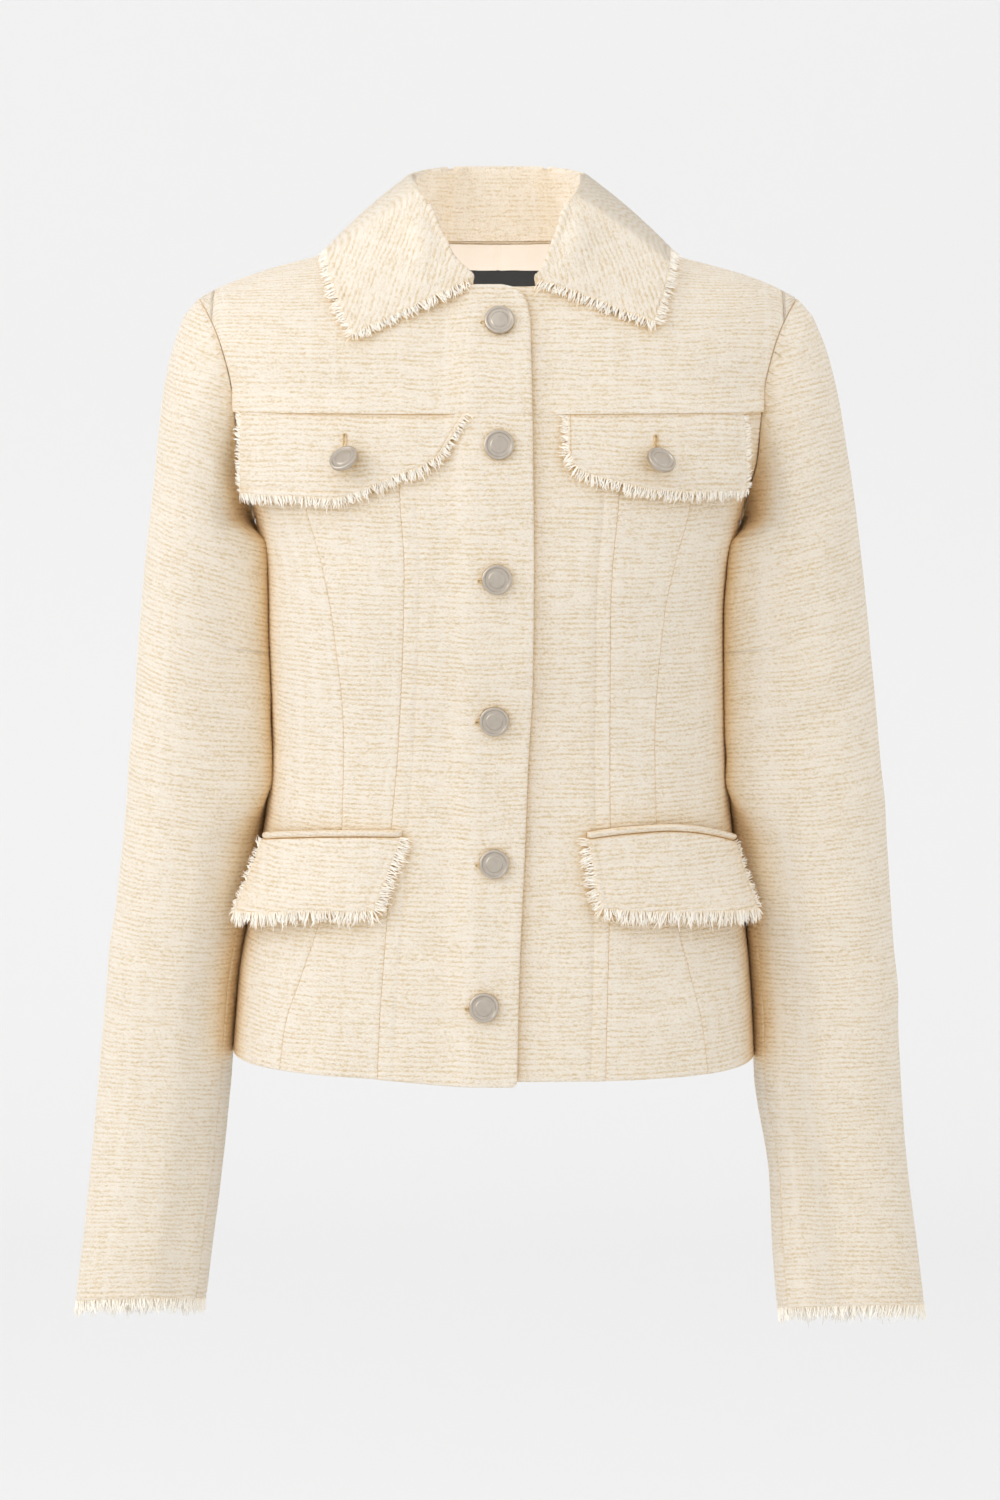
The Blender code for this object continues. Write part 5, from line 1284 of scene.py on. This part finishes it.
def flap(name):
    rows = FLAPS[name]
    width = abs(rows["top_x"][-1] - rows["top_x"][0])
    share = spread(FLAP_EDGES, FLAP_EDGES, width, 0.0030)[1](width)[:, 0]
    if name.endswith("right"):
        share = share[::-1]
    steps = share * rows["step"][-1]
    tops, bottoms = -read(rows, "top_z", steps), -read(rows, "bottom_z", steps)

    def place(column, v):
        t = (v - tops[column]) / (bottoms[column] - tops[column])
        points, _ = flap_point(name, steps[column], t)
        near = np.minimum(share[column], 1 - share[column]) * width
        sink = roll(near, *RAW_ROLL) + trough(near, *RAW_STITCH) + trough(bottoms[column] - v, *RAW_STITCH)
        base = 0.0006 * (drift(points[:, 0] / 0.030, points[:, 2] / 0.020, 41) - 0.5) * t
        return points, points[:, 0] + 0.7, v + 0.0011, sink, base

    first_rim = CHEST_SEAM_DEPTH if name.startswith("chest") else 0.0009
    return sew(name, tops, bottoms, place, wall=flap_wall, rims=(first_rim, 0.0010))


flaps = {name: flap(name) for name in FLAPS}


# ---------------------------------------------------------------- hip pocket welts
# A rolled strip of tweed covers the top edge of each hip flap and closes the pocket's mouth.
# The left one is thicker and rounder than the right one.

WELT_HEIGHT = 0.0042
WELT_WALL = {RIGHT: 0.0026, LEFT: 0.0034}


def welt(side):
    word, wall = SIDE_NAMES[side], WELT_WALL[side]
    rows = FLAPS["hip_flap_" + word]
    steps = np.linspace(0.0, rows["step"][-1], 46)[::side]
    x_at, top_at = read(rows, "top_x", steps), read(rows, "top_z", steps) + SEAM_GAP
    tops = -(top_at + WELT_HEIGHT)

    def place(column, v):
        t = (v - tops[column]) / WELT_HEIGHT
        x, z = x_at[column], -v
        points = np.stack((x, skin_y(x, z, FRONT, FLAP_FORM["hip"][0]), z), axis=1)
        base = 0.0005 + wall * (1 + 0.35 * np.sin(np.pi * t))
        ends = np.minimum(column, len(steps) - 1 - column) / (len(steps) - 1) * 0.09
        return points, x + 0.2, v * 1.5, roll(ends, wall * 0.5, RAW_REACH), base

    sew("pocket_welt_" + word, tops, -top_at, place,
        wall=wall, step=0.0006, ribs=0.5, rims=(wall * 0.55, wall * 0.45))


for side in (RIGHT, LEFT):
    welt(side)


# ---------------------------------------------------------------- buttons
# Eight satin nickel shank buttons of 18 mm: a turned disc with a rolled rim, a sunk ring and a
# raised flat middle, left plain. Six close the front, and one hangs from each chest flap.

BUTTON_RADIUS, BUTTON_DEPTH, RIM_RISE = 0.0091, 0.0030, 0.0004
SHANK_RADIUS, SHANK_LENGTH = 0.0015, 0.0071
# How far each ring of the face lies in from the one before, and how far above it.
BUTTON_RINGS = ((0.0005, 0.00032), (0.0005, 0.00008), (0.0006, -0.00012), (0.0004, -0.00070), (0.0018, 0.0),
                (0.0004, 0.00045), (0.0006, 0.00008))


def metal_look(tree):
    """Satin nickel plate: soft broad highlights and a fine grain with faint dull patches."""
    grain, dull = (noise(tree, own_place(tree), scale, detail) for scale, detail in ((2600.0, 2.0), (260.0, 3.0)))
    rough = node(tree, "MapRange", Value=dull, To_Min=0.30, To_Max=0.46)
    return dict(Base_Color=blend(tree, dull, "#B1A799", "#CAC1B6"), Roughness=rough,
                Normal=bumps(tree, grain, 0.12, 0.0001), Metallic=1.0)


def cylinder(radius, length, middle, sides):
    """A new upright cylinder, picked alone."""
    bpy.ops.object.select_all(action="DESELECT")
    bpy.ops.mesh.primitive_cylinder_add(vertices=sides, radius=radius, depth=length, location=(0.0, 0.0, middle))
    return bpy.context.object


def step_in(thing, way, rings):
    """Insets the end face that looks up (1) or down (-1), and moves each new one along the axis."""
    mode("EDIT")
    bpy.ops.mesh.select_mode(type="FACE")
    bpy.ops.mesh.select_all(action="DESELECT")
    mode("OBJECT")
    for face in thing.data.polygons:
        face.select = face.normal.z * way > 0.9
    mode("EDIT")
    for inset, rise in rings:
        bpy.ops.mesh.inset(thickness=inset, depth=0.0)
        bpy.ops.transform.translate(value=(0.0, 0.0, rise))
    mode("OBJECT")


def finish_turned():
    bpy.ops.object.transform_apply(location=True, rotation=True, scale=True)
    bpy.ops.object.shade_smooth_by_angle(angle=radians(32))


button = cylinder(BUTTON_RADIUS, BUTTON_DEPTH - RIM_RISE, BUTTON_DEPTH / 2 - RIM_RISE / 2, 56)
button.data.materials.append(finish_material("satin_nickel", metal_look))
step_in(button, 1, BUTTON_RINGS)
step_in(button, -1, ((0.0006, 0.0),))
edges = button.modifiers.new("soft_edges", "BEVEL")
edges.width, edges.segments = 0.00016, 2
edges.limit_method, edges.angle_limit = "ANGLE", radians(24)
bpy.ops.object.modifier_apply(modifier=edges.name)
finish_turned()
shank = cylinder(SHANK_RADIUS, SHANK_LENGTH, -SHANK_LENGTH / 2 + 0.0002, 20)
shank.data.materials.append(button.data.materials[0])
finish_turned()


def copy_mesh(source, name, middle, axis, upright=(0.0, 0.0, 1.0)):
    """A copy of a piece with its own mesh, turned so that its Z axis runs along axis."""
    mesh = source.data.copy()
    side_way = unit(np.cross(upright, axis))
    turn = np.stack((side_way, np.cross(axis, side_way), axis), axis=1)
    spots = np.empty(len(mesh.vertices) * 3)
    mesh.vertices.foreach_get("co", spots)
    mesh.vertices.foreach_set("co", (spots.reshape(-1, 3) @ turn.T + middle).ravel())
    mesh.update()
    return placed(name, mesh)


def button_seat(name):
    """Where the back of a packed button lies, and the way its face looks."""
    spots = np.array([v.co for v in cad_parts[name].data.vertices])
    spots = np.unique(spots.round(7), axis=0)
    middle = spots.mean(axis=0)
    axis = np.linalg.svd(spots - middle)[2][2]
    axis = axis * (-1 if axis[1] > 0 else 1)
    return middle + axis * (((spots - middle) @ axis).max() - BUTTON_DEPTH), axis


button_seats = []
for name in ["button_front_" + str(number) for number in range(1, 7)] + ["button_flap_right", "button_flap_left"]:
    seat, axis = button_seat(name)
    hang(copy_mesh(button, name + "_metal", seat, axis), name)
    if name.startswith("button_flap"):
        hang(copy_mesh(shank, name + "_shank", seat, axis))
    else:
        button_seats.append((seat, axis))


# ---------------------------------------------------------------- buttonholes
# Slits worked round with tan buttonhole twist. The front ones lie across, under the buttons,
# with one end showing at the button's right edge. The chest flaps' ones stand above the buttons.

FRONT_HOLE_LENGTH, FLAP_HOLE_LENGTH = 0.0195, 0.0150
HOLE_WIDTH, HOLE_THREAD, HOLE_STITCHES = 0.0030, 0.00052, 96
HOLE_SHIFT = np.array((-0.0022, 0.0, -0.0010))  # from the middle of a front button to its hole's


def thread_look(tree):
    """Twisted cotton thread laid side by side: tan, matt, with darker gaps between stitches."""
    twist, soft = (noise(tree, own_place(tree), scale, detail) for scale, detail in ((1900.0, 3.0), (420.0, 1.0)))
    part = node(tree, "MapRange", Value=calculate(tree, "ADD", twist, soft), From_Min=0.75, From_Max=1.2)
    return dict(Base_Color=blend(tree, part, "#C9A774", "#E6CFA6"), Normal=bumps(tree, twist, 0.5, 0.0002),
                Roughness=0.85)


TWIST = finish_material("tan_buttonhole_twist", thread_look)


def worked_hole(length):
    """A long ring of stitches, made from a torus drawn out to the hole's length."""
    bpy.ops.object.select_all(action="DESELECT")
    half = HOLE_WIDTH / 2 - HOLE_THREAD
    bpy.ops.mesh.primitive_torus_add(
        major_segments=HOLE_STITCHES, minor_segments=8, major_radius=half, minor_radius=HOLE_THREAD, location=(0, 0, 0)
    )
    ring = bpy.context.object
    spots = np.empty(len(ring.data.vertices) * 3)
    ring.data.vertices.foreach_get("co", spots)
    spots = spots.reshape(-1, 3)
    angle = np.arctan2(spots[:, 1], spots[:, 0])
    centre = np.stack((np.cos(angle) * half, np.sin(angle) * half, 0 * angle), axis=1)
    off = (spots - centre) * (0.80 + 0.28 * (np.round(angle * HOLE_STITCHES / (2 * np.pi)) % 2))[:, None]
    shift = (length / 2 - half - HOLE_THREAD) * np.tanh(4 * np.cos(angle))
    ring.data.vertices.foreach_set("co", (centre + off + np.stack((shift, 0 * shift, 0 * shift), axis=1)).ravel())
    bpy.ops.object.shade_smooth()
    ring.data.materials.append(TWIST)
    return ring


front_hole, flap_hole = worked_hole(FRONT_HOLE_LENGTH), worked_hole(FLAP_HOLE_LENGTH)
for number, (seat, axis) in enumerate(button_seats, start=1):
    middle = seat - axis * 0.0004 + HOLE_SHIFT
    hang(copy_mesh(front_hole, "buttonhole_front_" + str(number), middle, axis))
for word, x, z in (("right", -0.0935, -0.0880), ("left", 0.0965, -0.0905)):
    steps = np.linspace(0, FLAPS["chest_flap_" + word]["step"][-1], 400)
    on_flap, normals = flap_point("chest_flap_" + word, steps, np.full(400, (FLAP_TOP_Z - z) / 0.0490))
    k = int(np.argmin(abs(on_flap[:, 0] - x)))
    hang(copy_mesh(flap_hole, "buttonhole_flap_" + word, on_flap[k] + normals[k] * 0.0001, normals[k],
                   upright=(-1.0, 0.0, 0.0)))
for spare in (button, shank, front_hole, flap_hole):
    bpy.data.objects.remove(spare, do_unlink=True)


# ---------------------------------------------------------------- frayed edges
# The raw edges of the flaps, collar and cuffs are combed out beyond their stitches into a dense
# brush of loose yarns. They cling together in tufts, a little curled and uneven in length.

YARN_RADIUS, YARN_CORNERS = 0.00038, 3
YARN_PITCH, TUFT_PITCH = 0.00078, 0.0024
YARN_RINGS = (0.0, 0.30, 0.60, 0.86)
YARN_TAPER = (1.0, 1.0, 0.85, 0.55)
YARN_ROOT = 0.0008  # how far a yarn starts inside the cloth
LAYER_LIFT = 0.00062  # the two layers of yarns lie above and below the middle of the cloth
THREADS = 7  # in a tuft of its own
COLLAR_YARN, CUFF_YARN = 0.0076, 0.0094
FLAP_YARNS = {"chest": (0.0062, 0.0074), "hip": (0.0085, 0.0098)}  # at the ends and along the hem


def yarn_look(tree):
    """Loose soft yarn ends: matt, off-white, darker towards their roots and with fine hairs."""
    cloth = node(tree, "UVMap", uv_map="cloth")
    number, depth = (node(tree, "SeparateXYZ", Vector=cloth, out=k) for k in (0, 1))
    hair = noise(tree, own_place(tree), 1500.0, 3.0)
    own = calculate(tree, "MULTIPLY", node(tree, "TexWhiteNoise", noise_dimensions="1D", W=number), 0.45)
    part = node(tree, "MapRange", Value=calculate(tree, "ADD", own, depth), From_Min=0.05, From_Max=0.75)
    return dict(Base_Color=blend(tree, part, "#F6EAD5", "#FFFAF0"), Normal=bumps(tree, hair, 0.5, 0.0002),
                Roughness=1.0, Sheen_Weight=0.25)


YARN = finish_material("frayed_cream_yarn", yarn_look)


def yarns(name, path, normals, lengths, seed, inward, clear=None, extra=()):
    """Loose yarns that stand out from a path along the middle of a cloth's raw edge. inward is
    a point inside the cloth, or the way up a sleeve. extra holds tufts of their own, each with
    its root, its way, its normal and its length."""
    along = run_of(path)
    count = int(along[-1] / YARN_PITCH)
    random = np.random.default_rng(seed)
    tangent = unit(np.gradient(path, axis=0))
    outward = unit(np.cross(tangent, normals))
    away = (path - inward) if np.ndim(inward) == 1 else -inward
    outward = outward * np.where((outward * away).sum(axis=1) < 0, -1, 1)[:, None]

    def on(values, at):
        return np.stack([np.interp(at, along, values[:, k]) for k in range(3)], axis=1)

    batches = []
    for layer in (-1, 1):
        at = (np.arange(count) + random.uniform(0.15, 0.85, count)) * YARN_PITCH
        tuft = np.floor(at / TUFT_PITCH + 0.35 * (random.uniform(0, 1, count) - 0.5))
        out, up, tan = on(outward, at), on(normals, at), on(tangent, at)
        size = np.interp(at, along, lengths) * mix(0.66, 1.12, chance(tuft, layer, seed))
        size = size * random.uniform(0.80, 1.08, count)
        size = size * np.where(random.uniform(0, 1, count) > 0.94, 1.3, 1.0)
        lean = 0.60 * (chance(tuft, layer, seed + 1) - 0.5) + random.normal(0, 0.16, count)
        pull = ((tuft + 0.5) * TUFT_PITCH - at) / np.maximum(size, 1e-4) * 0.55
        root = on(path, at) - out * YARN_ROOT
        root = root + up * (layer * LAYER_LIFT + random.normal(0, 0.00012, count))[:, None]
        way = out + tan * (lean + pull)[:, None]
        batches.append((root, way, up, tan, size, np.arange(count) + count * (layer + 1)))
    for root, way, up, size in extra:
        across = np.cross(way, up)
        root = root + across * random.uniform(-1, 1, THREADS)[:, None] * 0.0011
        way = way + across * random.uniform(-0.35, 0.35, THREADS)[:, None]
        size = size * random.uniform(0.6, 1.1, THREADS)
        batches.append((root, way, np.repeat([up], THREADS, axis=0), np.repeat([across], THREADS, axis=0), size,
                        np.arange(THREADS) + 90000.0))
    root, way, up, side_way, size, number = (np.concatenate(part) for part in zip(*batches))
    total = len(root)
    phase = random.uniform(0, 2 * np.pi, total)
    curl = random.uniform(0.25, 1.0, total)
    bend = random.normal(0.0, 0.00045, total) + 0.0002
    rings = []
    for t in YARN_RINGS + (1.0,):
        wave = np.sin(phase + 6.5 * t) * curl * 0.00080 * np.sqrt(t)
        lift = bend * t * t + np.cos(phase + 4.1 * t) * curl * 0.00030 * np.sqrt(t)
        spot = root + way * (size * t)[:, None] + side_way * wave[:, None] + up * lift[:, None]
        rings.append(clear(spot) if clear and t > 0.2 else spot)
    points, uv, quads = [], [], []
    corner_of = np.arange(total) + np.arange(YARN_CORNERS * len(YARN_TAPER) + 1)[:, None] * total
    for k, taper in enumerate(YARN_TAPER):
        ahead = unit(rings[k + 1] - rings[max(k - 1, 0)])
        a = unit(np.cross(ahead, up))
        b = np.cross(a, ahead)
        for corner in range(YARN_CORNERS):
            turn = phase + 2 * np.pi * corner / YARN_CORNERS
            points.append(rings[k] + (a * np.cos(turn)[:, None] + b * np.sin(turn)[:, None]) * YARN_RADIUS * taper)
            uv.append(np.stack((number, np.full(total, YARN_RINGS[k])), axis=1))
            if k:
                low, high = corner_of[YARN_CORNERS * (k - 1) :], corner_of[YARN_CORNERS * k :]
                after = (corner + 1) % YARN_CORNERS
                quads.append(np.stack((low[corner], low[after], high[after], high[corner]), axis=1))
    points.append(rings[-1])
    uv.append(np.stack((number, np.ones(total)), axis=1))
    last = corner_of[-1 - YARN_CORNERS :]
    tips = [np.stack((last[corner], last[(corner + 1) % YARN_CORNERS], last[-1]), axis=1)
            for corner in range(YARN_CORNERS)]
    tips.append(np.stack(corner_of[2::-1], axis=1))
    thing = add_mesh("yarns_" + name, np.concatenate(points), np.concatenate(quads), np.concatenate(tips).tolist(),
                     YARN, np.concatenate(uv), sharp=40)
    bpy.ops.object.select_all(action="DESELECT")
    bpy.context.view_layer.objects.active = thing
    thing.select_set(True)
    mode("EDIT")
    bpy.ops.mesh.select_all(action="SELECT")
    bpy.ops.mesh.normals_make_consistent(inside=False)
    mode("OBJECT")
    return hang(thing, "fringe_" + name)


def round_three_sides(side, across):
    """Places along a first end, an outer edge and a second end: across it, and down its ends."""
    last, high = across[-1], side[-1]
    ends = side[:-1]
    return np.concatenate((0 * ends, across, 0 * ends + last)), np.concatenate((ends, 0 * across + high, ends[::-1]))


for number, name in enumerate(FLAPS):
    last = FLAPS[name]["step"][-1]
    steps, t = round_three_sides(np.linspace(0.0, 1.0, 30), np.linspace(0.0, 1.0, 90) * last)
    points, normals = flap_point(name, steps, t)
    path = points - normals * HALF_WALL
    kind, extra = name.split("_")[0], []
    if kind == "chest":
        # threads of the flap's top edge come out of the chest seam at its inner end
        way = np.array((-1.0 if name.endswith("left") else 1.0, 0.0, -0.25))
        extra.append((path[0] + np.array((0.0, 0.0, -0.0006)), way, normals[0], 0.0085))
    middle = flap_point(name, np.array([last / 2]), np.array([0.5]))[0][0]
    yarns(name, path, normals, np.where(t < 1, *FLAP_YARNS[kind]), 60 + number, middle, extra=extra)

leaf = np.linspace(FOLD_ROW + 1.2, EDGE_ROW, 40)
line_at, row_at = round_three_sides(leaf, np.linspace(0.0, LAST_LINE, 260))
small = 0.02
by_line = between(COLLAR_LINES, np.minimum(line_at + small, LAST_LINE), row_at)
by_line = by_line - between(COLLAR_LINES, np.maximum(line_at - small, 0), row_at)
by_row = between(COLLAR_LINES, line_at, np.minimum(row_at + small, EDGE_ROW))
by_row = by_row - between(COLLAR_LINES, line_at, row_at - small)
# the way into the cloth: up the leaf along its hem, and along the collar at its two ends
into = np.where((row_at < EDGE_ROW)[:, None], by_line * np.where(line_at < 1, 1, -1)[:, None], -by_row)
path = between(COLLAR_LINES, line_at, row_at)
yarns("collar", path, unit(np.cross(by_line, by_row)), np.full(len(path), COLLAR_YARN), 71, into,
                         clear=lambda points: clear_of_skin(points, 0.0008))

for side, word in SIDE_NAMES.items():
    angles = np.linspace(0.0, 2 * np.pi, 240)
    ring = oval(SLEEVE[side], side, LAST_RING, angles)
    up_sleeve = oval(SLEEVE[side], side, LAST_RING - 0.5, angles) - ring
    normals = unit(np.cross(np.gradient(ring, axis=0), -up_sleeve) * side)
    yarns("cuff_" + word, ring - normals * HALF_WALL, normals,
                                   np.full(len(ring), CUFF_YARN), 80 + side, up_sleeve)
